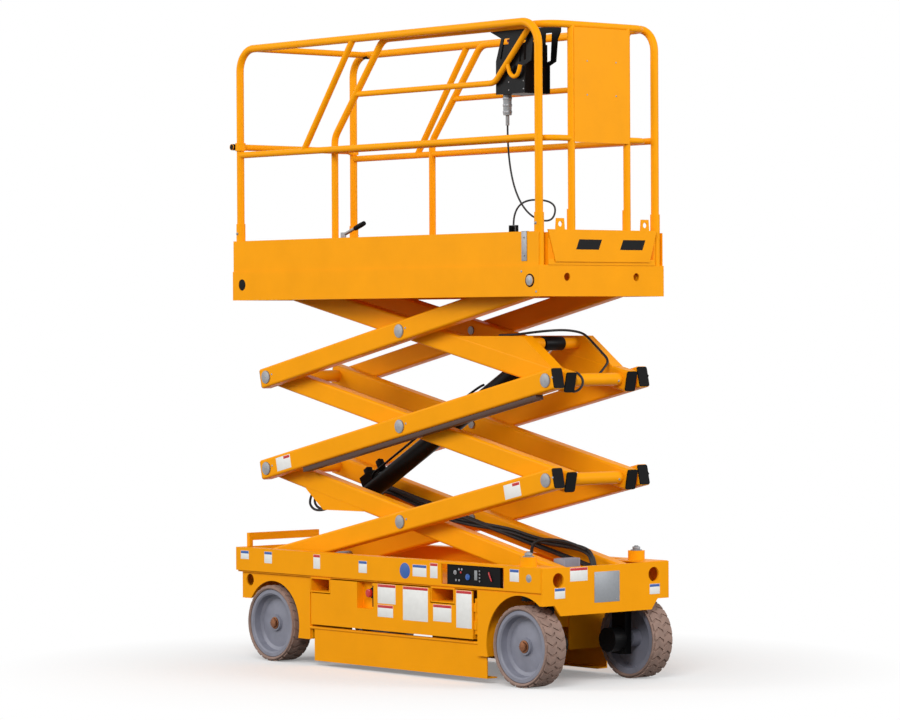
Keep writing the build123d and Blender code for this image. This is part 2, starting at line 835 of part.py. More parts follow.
# Hydraulic hoses inside the lowest arm, from the cylinder's mounting stub to the front cross tube
hose_y = inner_inside - stub_pin_reach - gap - hose_radius
hoses = []
for y in (hose_y, hose_y - 2 * hose_radius - hose_gap):
    hose_points = [
        (cylinder_x[0], y, cylinder_z[0] + stub_radius),
        (cylinder_x[0], y, 0),
        (half_arm - tube_radius, y, 0),
    ]
    hoses.append(place(pipe(hose_points, hose_radius, hose_bend), 0, arm_angle))
save("inner_arm_1_hoses", *hoses)


# Pins: through shafts at the ends of the stages, stub pins at the crossings
def through_shaft(x, z):
    shaft = rod_y(x, -head_out - shaft_head, head_out + shaft_head, z, shaft_radius)
    for s in (-1, 1):
        shaft = shaft + rod_y(x, s * head_out, s * (head_out + shaft_head), z, shaft_head_radius)
    return shaft


def stub_pins(x, z):
    pins = []
    for s in (-1, 1):
        body = rod_y(x, s * (inner_inside - stub_pin_reach), s * (head_out + shaft_head), z, shaft_radius)
        pins.append(body + rod_y(x, s * head_out, s * (head_out + shaft_head), z, shaft_head_radius))
    return pins


def roller_shaft(x, z, shaft):
    made = rod_y(x, -roller_y - roller_width / 2, roller_y + roller_width / 2, z, shaft)
    for s in (-1, 1):
        y0 = s * (roller_y - roller_width / 2)
        made = made + rod_y(x, y0, y0 + s * roller_width, z, roller_radius)
    return made


pin_sets = [
    stub_pins(stack_x, mids[0])
    + [through_shaft(pin_front_x, levels[1]), roller_shaft(pin_rear_x, levels[0], shaft_radius)],
    stub_pins(stack_x, mids[1]) + [through_shaft(pin_front_x, levels[2]), through_shaft(pin_rear_x, levels[1])],
    stub_pins(stack_x, mids[2]) + [through_shaft(pin_rear_x, levels[2])],
]
for k, pins in enumerate(pin_sets):
    save("outer_arm_" + str(k + 1) + "_pins", *pins)
save("inner_arm_3_rollers", roller_shaft(pin_rear_x, levels[3], shaft_radius))


# Base pivots: a pin on each side of the chassis that carries the front end of the lowest inner arm
def base_pivot():
    y0 = -inner_arm_y - arm_width / 2 - gap
    pin = rod_y(pin_front_x, y0, -inner_inside + pivot_pin_reach, levels[0], shaft_radius)
    block_top = levels[0] + pivot_plate_rise
    x0 = pin_front_x - pivot_plate_half
    return pin + box(x0, x0 + 2 * pivot_plate_half, y0 - pivot_plate, y0, deck_top, block_top)


save("base_pivots", base_pivot(), mirror_y(base_pivot()))


# Black caps on the square ends of the arms
def caps(y, ends):
    made = []
    half = arm_width / 2 - cap_margin
    rise = arm_height / 2 - cap_margin
    for out in ends:
        x0 = out * (half_arm + arm_overhang)
        for s in (-1, 1):
            cap = box(x0, x0 + out * cap_sheet, s * y - half, s * y + half, -rise, rise)
            made.append(fillet(cap.edges().filter_by(Axis.X), arm_edge - cap_margin))
    return made


outer_caps = [(1,), (-1, 1), (-1,)]
inner_caps = [(-1,), (-1, 1), (1,)]
for k in range(3):
    outer_set = [place(c, k, -arm_angle) for c in caps(outer_arm_y, outer_caps[k])]
    inner_set = [place(c, k, arm_angle) for c in caps(inner_arm_y, inner_caps[k])]
    save("outer_arm_" + str(k + 1) + "_caps", *outer_set)
    save("inner_arm_" + str(k + 1) + "_caps", *inner_set)

# Lift cylinder, made along X from its lower pin and then turned into place
run_x = cylinder_high[0] - cylinder_low[0]
run_z = cylinder_high[1] - cylinder_low[1]
cylinder_length = sqrt(run_x**2 + run_z**2)
cylinder_foot = (cylinder_low[0], 0, cylinder_low[1])
cylinder_plane = Plane(origin=cylinder_foot, x_dir=(run_x, 0, run_z), z_dir=(-run_z, 0, run_x))
barrel_end = cylinder_length - barrel_end_gap
eye_half = eye_width / 2
neck = eye_radius - thin_sheet
valve_x = barrel_start + 2 * wide_gap
valve_low = barrel_radius - valve_sink
valve_half = valve_width / 2
pin_half = cylinder_pin_reach - thin_sheet / 2
barrel = join(
    rod_x(barrel_start, barrel_end, 0, 0, barrel_radius),
    rod_x(barrel_end - barrel_collar_length, barrel_end, 0, 0, barrel_radius + barrel_collar),
    rod_y(0, -eye_half, eye_half, 0, eye_radius),
    box(0, barrel_start + wide_gap, -neck, neck, -neck, neck),
    rod_y(0, -pin_half, pin_half, 0, shaft_radius),
    box(valve_x, valve_x + valve_length, -valve_half, valve_half, valve_low, valve_low + valve_height),
)
barrel = barrel - rod_x(barrel_start + pivot_plate, barrel_end + gap, 0, 0, rod_radius + rod_fit)
save("lift_barrel", cylinder_plane * barrel)
lift_rod = join(
    rod_x(rod_start, cylinder_length - wide_gap, 0, 0, rod_radius),
    rod_y(cylinder_length, -eye_half, eye_half, 0, eye_radius),
)
save("lift_rod", cylinder_plane * lift_rod)

# Platform deck: floor, side walls, end walls and the front pivot blocks
side_y = platform_half_width
deck_pieces = [
    box(platform_rear, platform_front, -side_y, side_y, floor_low, floor_top),
    box(platform_rear, platform_rear + sheet, -side_y, side_y, platform_bottom, floor_low),
    box(platform_front - sheet, platform_front, -side_y, side_y, platform_bottom, floor_low),
]
block_x0 = pin_front_x - front_pivot_half
block_x1 = pin_front_x + front_pivot_half
for s in (-1, 1):
    deck_pieces.append(box(platform_rear, platform_front, s * wall_y, s * side_y, platform_bottom, floor_low))
    block_y = s * (head_out + gap)
    deck_pieces.append(box(block_x0, block_x1, block_y, s * wall_y, pin_z - front_pivot_drop, floor_low))
    deck_pieces.append(rod_y(pin_front_x, s * (outer_arm_y - arm_width / 2), s * wall_y, pin_z, shaft_radius))
    deck_pieces.append(rod_y(pin_front_x, s * wall_y, s * (side_y + thin_sheet), pin_z, front_disc_radius))
platform = join(*deck_pieces)
side_hole_x = platform_rear + side_hole_inset
nose_hole_y = platform_half_width - nose_hole_inset
for s in (-1, 1):
    side_hole_z = pin_z + thin_sheet
    platform = platform - rod_y(side_hole_x, s * (wall_y - gap), s * half_width, side_hole_z, side_hole_radius)
    nose_hole_z = floor_top - nose_hole_drop
    nose_hole_x = platform_front - sheet - gap
    nose_end_x = platform_front + gap
    platform = platform - rod_x(nose_hole_x, nose_end_x, s * nose_hole_y, nose_hole_z, nose_hole_radius)
save("platform_deck", platform)

# Roller tracks: a lower and an upper bar on each side, inside the platform walls
track_y = roller_y - roller_width / 2 - thin_sheet
track_x0 = platform_rear + sheet
track_x1 = stack_x + track_reach
low_track_top = pin_z - roller_radius - track_gap
high_track_foot = pin_z + roller_radius + track_gap
tracks = []
for s in (-1, 1):
    tracks.append(box(track_x0, track_x1, s * track_y, s * wall_y, platform_bottom, low_track_top))
    tracks.append(box(track_x0, track_x1, s * track_y, s * wall_y, high_track_foot, floor_low))
save("roller_tracks", *tracks)

# Toe boards round the sides and the rear
toe_top = floor_top + toe_height
toe_y = platform_half_width - cap_margin
toe_x0 = platform_rear + cap_margin
toe_x1 = platform_front - thin_sheet
toe = join(
    box(toe_x0, toe_x1, -toe_y, -toe_y + thin_sheet, floor_top, toe_top),
    box(toe_x0, toe_x1, toe_y - thin_sheet, toe_y, floor_top, toe_top),
    box(toe_x0, toe_x0 + thin_sheet, -toe_y, toe_y, floor_top, toe_top),
)
save("toe_boards", toe)


# Main guard rails: two side loops, mid rails, braces and the rear top bar
def side_loop():
    y = -main_rail_y
    loop_points = [
        (main_rear_post_x, y, floor_top),
        (main_rear_post_x, y, top_rail_z),
        (main_front_post_x, y, top_rail_z),
        (main_front_post_x, y, floor_top),
    ]
    brace_x = main_rear_post_x + brace_foot_set
    pieces = [
        pipe(loop_points, post_radius, rail_bend),
        rod_x(main_rear_post_x, main_front_post_x, y, mid_rail_z, rail_radius),
        pipe([(brace_x, y, mid_rail_z), (brace_x + brace_run, y, top_rail_z)], rail_radius),
    ]
    for x in (main_rear_post_x, main_front_post_x):
        pieces.append(rod_z(x, y, floor_top, floor_top + socket_height, socket_radius))
    return join(*pieces)


rear_bar = rod_y(main_rear_post_x + rail_bend, -main_rail_y, main_rail_y, top_rail_z, rail_radius)
save("main_rails", join(side_loop(), mirror_y(side_loop()), rear_bar))

# Sliding gate bar on the rear posts
gate_half = half_width - cut_over
collar_radius = post_radius + collar_fit + collar_wall
gate = rod_y(gate_x, -gate_half, gate_half, gate_z, rail_radius)
collar_z0 = gate_z - collar_height / 2
collar_z1 = gate_z + collar_height / 2
for s in (-1, 1):
    gate = gate + rod_z(main_rear_post_x, s * main_rail_y, collar_z0, collar_z1, collar_radius)
for s in (-1, 1):
    collar_bore = post_radius + collar_fit
    gate = gate - rod_z(main_rear_post_x, s * main_rail_y, collar_z0 - gap, collar_z1 + gap, collar_bore)
save("gate_bar", gate)

# Roll-out extension: deck with side boards
ext_board_top = floor_top + extension_toe_rise
extension = join(
    box(extension_rear, toe_plate_x, -ext_y, ext_y, ext_low, ext_top),
    box(extension_rear, toe_plate_x, -ext_y, -ext_board_y, ext_top, ext_board_top),
    box(extension_rear, toe_plate_x, ext_board_y, ext_y, ext_top, ext_board_top),
)
save("extension_deck", extension)

# Front toe board with its two eared anchor plates
nose_toe_top = floor_top + nose_toe_top_rise
nose_toe_foot = floor_top + nose_toe_foot_rise
flare_y = ext_y + nose_toe_flare
foot_y = flare_y - nose_toe_slant
toe_face_x = toe_plate_x + sheet
toe_points = [
    (-foot_y, nose_toe_foot),
    (foot_y, nose_toe_foot),
    (flare_y, nose_toe_top),
    (-flare_y, nose_toe_top),
]
front_toe = sheet_yz(toe_points, toe_plate_x, toe_face_x)
ear_foot = floor_top + ear_foot_rise
ear_top = floor_top + ear_rise
for s in (-1, 1):
    ear_y = s * (ext_y - ear_inset)
    ear = [
        (ear_y - ear_half, ear_foot),
        (ear_y + ear_half, ear_foot),
        (ear_y + ear_top_half, ear_top),
        (ear_y - ear_top_half, ear_top),
    ]
    front_toe = front_toe + sheet_yz(ear, toe_plate_x, toe_face_x)
    ear_hole_z = floor_top + ear_hole_rise
    front_toe = front_toe - rod_x(toe_plate_x - gap, toe_face_x + gap, ear_y, ear_hole_z, ear_hole_radius)
save("extension_toe_board", front_toe)

# Extension rails: one bent top rail from rear post to rear post, a mid rail round the front, upper side bars
# and front posts
ext_post_x = extension_rear + ext_post_set
knee_z = floor_top + ext_knee_rise
knee_x = ext_post_x + ext_knee_run
half_rail = [
    (ext_post_x, -ext_rail_y, ext_top),
    (ext_post_x, -ext_rail_y, knee_z),
    (knee_x, -ext_rail_y, ext_rail_top),
    (ext_front_x, -ext_rail_y, ext_rail_top),
]
rail_points = half_rail + [(x, -y, z) for x, y, z in reversed(half_rail)]
ext_pieces = [pipe(rail_points, ext_rail_radius, ext_rail_bend)]
bar_z = floor_top + ext_bar_rise
bar_x = ext_post_x + ext_knee_run * (bar_z - knee_z) / (ext_rail_top - knee_z)
ext_socket_x = ext_front_x - ext_socket_inset
for s in (-1, 1):
    y = s * ext_rail_y
    side_bar = [
        (bar_x, y, bar_z),
        (platform_front - ext_bar_front_set, y, bar_z),
        (platform_front - ext_bar_end_set, y, ext_rail_top),
    ]
    ext_pieces.append(pipe(side_bar, ext_bar_radius, ext_bar_bend))
    ext_pieces.append(rod_z(ext_front_x, s * ext_post_y, ext_top, ext_rail_top, ext_rail_radius))
    socket_top = floor_top + ext_socket_rise
    socket_wall = ext_rail_radius + ext_socket_wall
    ext_pieces.append(rod_z(ext_socket_x, s * ext_post_y, ext_top, socket_top, socket_wall))
front_bar_z = floor_top + ext_front_bar_rise
half_bar = [(ext_post_x, -ext_rail_y, front_bar_z), (ext_front_x, -ext_rail_y, front_bar_z)]
bar_points = half_bar + [(x, -y, z) for x, y, z in reversed(half_bar)]
ext_pieces.append(pipe(bar_points, ext_bar_radius, ext_bar_bend))
save("extension_rails", join(*ext_pieces))

# Sheet panel on the front posts
panel_x = ext_front_x + ext_rail_radius
panel_half = ext_post_y - thin_sheet / 2
panel_z0 = floor_top + panel_foot_rise
panel_z1 = floor_top + panel_top_rise
save("front_panel", box(panel_x, panel_x + panel_sheet, -panel_half, panel_half, panel_z0, panel_z1))

# Extension lock lever on the right side board
lever_x = extension_rear + lever_set
lever_z = floor_top + lever_rise
plate_z = floor_top + lever_plate_rise
lever_mid_x = lever_x + lever_plate_length / 2
lever_y = -ext_board_y + lever_radius
lever_points = [(lever_mid_x, lever_y, lever_z), (lever_mid_x + lever_run, lever_y, lever_z + lever_climb)]
lever_plate = box(
    lever_x,
    lever_x + lever_plate_length,
    -ext_board_y,
    -ext_board_y + lever_plate_sheet,
    plate_z,
    plate_z + lever_plate_height,
)
save("lock_lever", lever_plate + pipe(lever_points, lever_radius))

# Platform control box on the right extension rail: two handled side plates and the console between them
box_y = -ext_rail_y + ext_rail_radius
box_x0 = platform_front - box_set
box_low = floor_top + box_foot_rise


def box_plate(steps, y0, y1):
    return sheet_xz([(box_x0 + x, box_low + z) for x, z in steps], y0, y1)


plates = []
for y0 in (box_y, box_y + box_depth):
    y1 = y0 + box_sheet
    side_plate = box_plate(box_outline, y0, y1)
    for hole in (rear_hand_hole, front_hand_hole):
        side_plate = side_plate - box_plate(hole, y0 - gap, y1 + gap)
    plates.append(side_plate)
console = box(
    box_x0 + console_margin,
    box_x0 + console_margin + console_length,
    box_y + box_sheet,
    box_y + box_depth,
    box_low,
    box_low + console_height,
)
save("control_box", join(*plates, console))

# Plug under the control box and gland on the side board, with the loose cable between them
plug_x = box_x0 + plug_set
plug_y = box_y + plug_side
plug_low = box_low - plug_length
cable_top = plug_low - relief_length
plug = rod_z(plug_x, plug_y, plug_low, box_low, plug_radius)
plug = plug + rod_z(plug_x, plug_y, cable_top, plug_low, relief_radius)
gland_x = box_x0 + gland_set
gland_y = -ext_board_y + gland_depth / 2
gland_top = floor_top + gland_rise
gland = box(
    gland_x - gland_length / 2,
    gland_x + gland_length / 2,
    -ext_board_y,
    -ext_board_y + gland_depth,
    gland_top - gland_height,
    gland_top,
)
save("cable_ends", plug, gland)
cable_points = [(plug_x, plug_y, cable_top)]
for dx, dy, dz in cable_steps:
    cable_points.append((plug_x + dx, plug_y + dy, cable_top + dz))
cable_points.append((gland_x, gland_y, gland_top + cable_drop))
cable_points.append((gland_x, gland_y, gland_top))
save("control_cable", pipe(cable_points, cable_radius, cable_bend))
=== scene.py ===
import json
from math import atan2, cos, pi, radians, sin

import bpy
from mathutils import Matrix, Vector


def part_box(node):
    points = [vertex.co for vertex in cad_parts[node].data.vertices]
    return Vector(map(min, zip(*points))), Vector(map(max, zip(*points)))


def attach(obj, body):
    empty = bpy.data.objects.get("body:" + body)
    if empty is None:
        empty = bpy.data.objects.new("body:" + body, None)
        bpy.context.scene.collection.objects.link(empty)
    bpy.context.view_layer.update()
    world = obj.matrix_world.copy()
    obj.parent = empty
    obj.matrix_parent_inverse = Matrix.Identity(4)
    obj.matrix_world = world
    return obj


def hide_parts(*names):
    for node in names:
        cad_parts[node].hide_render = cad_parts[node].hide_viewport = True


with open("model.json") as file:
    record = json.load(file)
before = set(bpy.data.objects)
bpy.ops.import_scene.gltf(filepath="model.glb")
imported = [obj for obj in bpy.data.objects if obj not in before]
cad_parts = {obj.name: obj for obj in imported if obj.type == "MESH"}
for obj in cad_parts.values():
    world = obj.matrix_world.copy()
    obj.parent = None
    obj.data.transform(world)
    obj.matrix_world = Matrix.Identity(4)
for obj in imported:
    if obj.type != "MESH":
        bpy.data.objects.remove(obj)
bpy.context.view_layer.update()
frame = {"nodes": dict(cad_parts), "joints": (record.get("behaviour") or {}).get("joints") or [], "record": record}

bl_info = {
    "name": "Scissor Lift Dressing",
    "version": (1, 0, 0),
    "blender": (4, 5, 0),
    "location": "View3D > Sidebar > Scissor Lift",
    "description": "Dresses a narrow electric scissor lift with finishes, tread, bolts, hoses and trim",
    "category": "Object",
}

mm = 0.001
sides = (("right", -1), ("left", 1))
signs = (-1, 1)
wheels = [(end + "_" + side, sign) for end in ("front", "rear") for side, sign in sides]

# Directions, and the point that a model to be copied stands on
ahead = (1, 0, 0)
behind = (-1, 0, 0)
right = (0, -1, 0)
up = (0, 0, 1)
foot = (0, 0, 0)


# Sizes and colours that a user would change
class LiftSizes(bpy.types.PropertyGroup):
    """Sizes of the pieces that are added to the solids"""

    tread_depth: bpy.props.FloatProperty(
        name="Tread depth", description="Depth of the grooves in the tyres", default=0.006, unit="LENGTH"
    )
    tread_blocks: bpy.props.IntProperty(
        name="Tread blocks", description="Zigzag grooves round each tyre", default=26, min=8
    )
    bolt_radius: bpy.props.FloatProperty(
        name="Bolt head", description="Radius of the usual hexagon head", default=0.0095, unit="LENGTH"
    )
    decal_thickness: bpy.props.FloatProperty(
        name="Decal thickness", description="How far a decal stands off", default=0.0003, unit="LENGTH"
    )
    hose_radius: bpy.props.FloatProperty(
        name="Hose radius", description="Radius of the hydraulic hoses", default=0.009, unit="LENGTH"
    )
    cable_diameter: bpy.props.FloatProperty(
        name="Cable diameter", description="Diameter of the control box cable", default=0.009, unit="LENGTH"
    )


class LiftColours(bpy.types.PropertyGroup):
    """Colours of the finishes, as sRGB hex values"""

    paint: bpy.props.StringProperty(name="Paint", description="Orange yellow machine paint", default="FBA30A")
    tyre: bpy.props.StringProperty(name="Tyre", description="Brown grey tyre rubber", default="977C70")
    wheel: bpy.props.StringProperty(name="Wheel", description="Grey paint on the wheels", default="838491")
    black: bpy.props.StringProperty(name="Black", description="Black plastic and paint", default="0E0E0F")
    zinc: bpy.props.StringProperty(name="Zinc", description="Zinc plated pins and bolts", default="969698")
    chrome: bpy.props.StringProperty(name="Chrome", description="Chrome on the rod", default="D2D4D6")
    red: bpy.props.StringProperty(name="Red", description="Stop buttons and red bands", default="C4161C")
    white: bpy.props.StringProperty(name="White", description="Vinyl of the blank decals", default="ECECE8")
    blue: bpy.props.StringProperty(name="Blue", description="Blue bands and knob", default="2458A6")
    grey: bpy.props.StringProperty(name="Grey", description="Grey plastic of the plug", default="8B8E90")
    # Dark brown of painted shade: the strip under the second outer arm takes the colour of the orange paint in
    # shade there
    brown: bpy.props.StringProperty(name="Hose tray", description="Primer of the hose tray", default="3C1D0A")
    bronze: bpy.props.StringProperty(name="Axle nuts", description="Passivated axle nuts", default="8A5A3C")
    plate: bpy.props.StringProperty(name="Plate", description="Blank aluminium plate", default="8C8F93")
    bounce: bpy.props.StringProperty(name="Bounce", description="Floor seen by the light", default="747474")
    floor: bpy.props.StringProperty(name="Floor", description="Pale studio floor", default="F2F2F2")


class LiftView(bpy.types.PropertyGroup):
    """Camera of the photograph's view"""

    place: bpy.props.FloatVectorProperty(
        name="Camera place", description="Where it stands", default=(13.471, -11.56, 1.681), unit="LENGTH"
    )
    azimuth: bpy.props.FloatProperty(
        name="Azimuth", description="Turn about the upright", default=radians(49.361), unit="ROTATION"
    )
    pitch: bpy.props.FloatProperty(
        name="Pitch", description="How far the camera looks down", default=radians(0.584), unit="ROTATION"
    )
    roll: bpy.props.FloatProperty(
        name="Roll", description="Turn about the line of sight", default=radians(-0.298), unit="ROTATION"
    )
    lens: bpy.props.FloatProperty(
        name="Lens", description="Focal length on a 36 mm sensor", default=144.8, unit="CAMERA"
    )
    shift: bpy.props.FloatVectorProperty(
        name="Shift", description="Shift of the picture, in picture widths", size=2, default=(0.0067, 0.0024)
    )


def sizes():
    """The scene's sizes"""
    return bpy.context.scene.lift_sizes


def colours():
    """The scene's colours"""
    return bpy.context.scene.lift_colours


# Finishes: how much the paint and the black pieces shine, and short names for the shader's levels
paint_shine = 0.06
black_shine = 0.08
shader_levels = {"metallic": "Metallic", "ior": "IOR", "shine": "Specular IOR Level"}


def linear(code):
    """sRGB hex value as linear red, green, blue and alpha"""
    parts = [int(code[i:i + 2], 16) / 255 for i in (0, 2, 4)]
    return [c / 12.92 if c <= 0.04045 else ((c + 0.055) / 1.055) ** 2.4 for c in parts] + [1.0]


def add_node(tree, kind, inputs=(), links=(), **settings):
    """Adds a node, sets its settings and inputs, and links other nodes' outputs into it"""
    node = tree.nodes.new(kind)
    for key, value in settings.items():
        setattr(node, key, value)
    for key, value in inputs:
        node.inputs[key].default_value = value
    for key, source, output in links:
        tree.links.new(source.outputs[output], node.inputs[key])
    return node


def new_material(name):
    """An empty material with its shader, and Object coordinates for its patterns"""
    material = bpy.data.materials.new(name)
    material.use_nodes = True
    tree = material.node_tree
    return material, tree, tree.nodes["Principled BSDF"], add_node(tree, "ShaderNodeTexCoord")


def noise(tree, place, size_mm, detail):
    """Cloudy noise of a real size"""
    settings = [("Scale", 1 / (size_mm * mm)), ("Detail", detail)]
    return add_node(tree, "ShaderNodeTexNoise", settings, [("Vector", place, "Object")])


def mottle(tree, shader, place, code, shade, size_mm, spread):
    """Colour that drifts between a hex value and a darker one over patches of a real size"""
    patches = noise(tree, place, size_mm, 6.0)
    light = linear(code)
    dark = [c * shade for c in light[:3]] + [1.0]
    ramp = add_node(tree, "ShaderNodeValToRGB", (), [("Fac", patches, "Fac")])
    stops = ((0.5 - spread, dark), (0.5 + spread, light))
    for element, (position, colour) in zip(ramp.color_ramp.elements, stops):
        element.position = position
        element.color = colour
    tree.links.new(ramp.outputs["Color"], shader.inputs["Base Color"])
    return patches


def grain(tree, shader, place, size_mm, height_mm, strength):
    """Bump of a real grain size"""
    bumps = noise(tree, place, size_mm, 3.0)
    levels = [("Strength", strength), ("Distance", height_mm * mm)]
    bump = add_node(tree, "ShaderNodeBump", levels, [("Height", bumps, "Fac")])
    tree.links.new(bump.outputs["Normal"], shader.inputs["Normal"])


def rough_between(tree, shader, source, low, high):
    """Roughness that follows a pattern between two values"""
    levels = [("To Min", low), ("To Max", high)]
    span = add_node(tree, "ShaderNodeMapRange", levels, [("Value", source, "Fac")])
    tree.links.new(span.outputs["Result"], shader.inputs["Roughness"])


def finish(name, code, cloud, rough, grit=None, **levels):
    """A material of one colour that clouds and dulls in patches

    cloud: share of the colour that dark patches keep, patch size in millimetres, softness of the edges
    rough: lowest and highest roughness
    grit: grain size and height in millimetres, and its strength
    levels: the shader's levels, by their short names
    """
    material, tree, shader, place = new_material(name)
    patches = mottle(tree, shader, place, code, *cloud)
    rough_between(tree, shader, patches, *rough)
    if grit:
        grain(tree, shader, place, *grit)
    for key, value in levels.items():
        shader.inputs[shader_levels[key]].default_value = value
    return material


def machine_paint():
    # Two-coat machine enamel, sprayed: an even satin skin with slight orange peel and faint handling marks
    name = "machine_enamel_orange_yellow"
    peel = (5.0, 0.12, 0.25)
    return finish(name, colours().paint, (0.93, 160.0, 0.22), (0.34, 0.46), peel, shine=paint_shine)


def tread_deck():
    # Machine enamel over rolled tread plate: raised bars on upward faces, drawn at their real 30 mm pitch
    name = "machine_enamel_tread_plate"
    material = finish(name, colours().paint, (0.93, 160.0, 0.22), (0.34, 0.48), shine=paint_shine)
    bar_pitch = 30.0
    bar_length = 60.0
    bar_height = 1.5
    bar_edge = (0.18, 0.26)
    upright = 0.9
    tree = material.node_tree
    place = tree.nodes["Texture Coordinate"]
    bars = []
    for lean in (45, -45):
        scale = (1 / (bar_pitch * mm), 1 / (bar_length * mm), 1.0)
        placing = [("Rotation", (0, 0, radians(lean))), ("Scale", scale)]
        turned = add_node(tree, "ShaderNodeMapping", placing, [("Vector", place, "Object")])
        even = [("Scale", 1.0), ("Randomness", 0.0)]
        cells = add_node(tree, "ShaderNodeTexVoronoi", even, [("Vector", turned, "Vector")], feature="F1")
        bars.append(cells)
    both = [(0, bars[0], "Distance"), (1, bars[1], "Distance")]
    nearest = add_node(tree, "ShaderNodeMath", (), both, operation="MINIMUM")
    edge = [("From Min", bar_edge[0]), ("From Max", bar_edge[1]), ("To Min", 1.0), ("To Max", 0.0)]
    raised = add_node(tree, "ShaderNodeMapRange", edge, [("Value", nearest, "Value")])
    shape = add_node(tree, "ShaderNodeNewGeometry")
    split = add_node(tree, "ShaderNodeSeparateXYZ", (), [("Vector", shape, "Normal")])
    upward = add_node(tree, "ShaderNodeMath", [(1, upright)], [(0, split, "Z")], operation="GREATER_THAN")
    on_top = [(0, raised, "Result"), (1, upward, "Value")]
    masked = add_node(tree, "ShaderNodeMath", (), on_top, operation="MULTIPLY")
    levels = [("Strength", 0.6), ("Distance", bar_height * mm)]
    bump = add_node(tree, "ShaderNodeBump", levels, [("Height", masked, "Value")])
    tree.links.new(bump.outputs["Normal"], tree.nodes["Principled BSDF"].inputs["Normal"])
    return material


def bronze_nut():
    # Yellow passivated zinc on the axle nuts: dull copper brown, darker in patches
    return finish("passivated_zinc_brown", colours().bronze, (0.6, 9.0, 0.25), (0.4, 0.6), metallic=0.8)


def etched_plate():
    # Etched aluminium sheet, blank: dull grey metal with small clouds
    return finish("etched_aluminium", colours().plate, (0.85, 14.0, 0.3), (0.42, 0.6), metallic=0.6)


def tyre_rubber():
    # Solid rubber that leaves no marks, moulded: dull, brown grey, dusty in patches
    dust = (0.72, 45.0, 0.2)
    return finish("non_marking_rubber", colours().tyre, dust, (0.75, 0.92), (2.5, 0.3, 0.35), ior=1.52)


def wheel_paint():
    # Grey enamel on pressed steel wheels: satin, dusty in patches
    return finish("wheel_enamel_grey", colours().wheel, (0.8, 60.0, 0.2), (0.4, 0.58), (4.0, 0.1, 0.2))


def black_plastic():
    # Polypropylene, moulded with a fine leather grain: matt black
    name = "moulded_polypropylene_black"
    leather = (2.0, 0.25, 0.4)
    return finish(name, colours().black, (0.7, 30.0, 0.25), (0.5, 0.68), leather, shine=black_shine)


def black_enamel():
    # Black enamel on steel: satin, a little greasy in patches
    name = "steel_enamel_black"
    peel = (5.0, 0.1, 0.2)
    return finish(name, colours().black, (0.75, 70.0, 0.25), (0.28, 0.5), peel, shine=black_shine)


def zinc_plate():
    # Zinc plated steel, barrel plated: dull silver with cloudy patches
    cloud = (0.75, 22.0, 0.25)
    return finish("zinc_plated_steel", colours().zinc, cloud, (0.46, 0.64), (2.0, 0.08, 0.2), metallic=0.85)


def hard_chrome():
    # Hard chrome on a ground rod: bright, with a thin film of oil
    return finish("hard_chrome", colours().chrome, (0.9, 90.0, 0.2), (0.08, 0.18), metallic=1.0)


def hose_rubber():
    # Wrapped hydraulic hose: matt black with a fine cloth wrap mark, drawn coarser than life so that it shows
    return finish("wrapped_hose_black", colours().black, (0.7, 18.0, 0.25), (0.55, 0.72), (3.0, 0.3, 0.4))


def plain_skin(name, code, rough):
    # Moulded nylon, printed vinyl, or a dark brown of painted shade: one even colour with a faint cloud and a
    # slight sheen
    return finish(name, code, (0.92, 25.0, 0.25), (rough - 0.06, rough + 0.06), (3.0, 0.06, 0.15))


finishes = {}


def make_finishes():
    """One material for each finish, kept by a short name"""
    c = colours()
    finishes["paint"] = machine_paint()
    finishes["deck"] = tread_deck()
    finishes["bronze"] = bronze_nut()
    finishes["grey_plate"] = etched_plate()
    finishes["tyre"] = tyre_rubber()
    finishes["wheel"] = wheel_paint()
    finishes["black_plastic"] = black_plastic()
    finishes["black_enamel"] = black_enamel()
    finishes["zinc"] = zinc_plate()
    finishes["chrome"] = hard_chrome()
    finishes["hose"] = hose_rubber()
    finishes["red"] = plain_skin("moulded_nylon_red", c.red, 0.35)
    finishes["white"] = plain_skin("printed_vinyl_white", c.white, 0.45)
    finishes["blue"] = plain_skin("printed_vinyl_blue", c.blue, 0.45)
    # The brown is painted shade, for the shaded band under the second outer arm
    finishes["brown"] = plain_skin("painted_shade_brown", c.brown, 0.6)
    finishes["grey"] = plain_skin("moulded_plug_grey", c.grey, 0.5)


# Finish of each slot's solids, and of the solids that differ from their slot
slot_finish = {
    "paint": "paint",
    "chassis_steel": "paint",
    "pin_steel": "zinc",
    "lever_steel": "zinc",
    "black_plastic": "black_plastic",
    "battery_case": "black_plastic",
    "black_paint": "black_enamel",
    "rod_chrome": "chrome",
    "wheel_grey": "wheel",
    "tyre_rubber": "tyre",
    "cable_rubber": "hose",
    "plug_grey": "grey",
}
node_finish = {"platform_deck": "deck", "extension_deck": "deck"}

# Pivots of the hinges, in millimetres
pivots = {row["name"]: [v / mm for v in row["pos_m"]] for row in frame["joints"] if row["type"] == "hinge"}

# Scissor stack, in millimetres: pins of the first stage, rise from stage to stage, lean of the arms
pin_front = pivots["lift"][0]
lowest_pins = pivots["lift"][2]
stack_middle = pivots["outer_arm_1_swing"][0]
pin_rear = 2 * stack_middle - pin_front
stage_rise = pivots["inner_arm_2_swing"][2] - lowest_pins
arm_lean = atan2(stage_rise / 2, pin_front - stack_middle)
pin_head = 311.0
arm_face = 306.0


def pin_places(stage):
    """Pins that an outer arm carries: its crossing, and the stage ends that it holds"""
    low = lowest_pins + (stage - 1) * stage_rise
    places = [(stack_middle, low + stage_rise / 2)]
    if stage < 3:
        places.append((pin_front, low + stage_rise))
    if stage > 1:
        places.append((pin_rear, low))
    return places


# Modelling helpers, all in millimetres. Angle from which an edge is softened and shows as an edge, and its steps
sharp_angle = radians(35)
edge_steps = 2

# Steps of a tube between its control points, and round its section
tube_steps = 8
tube_ring = 4

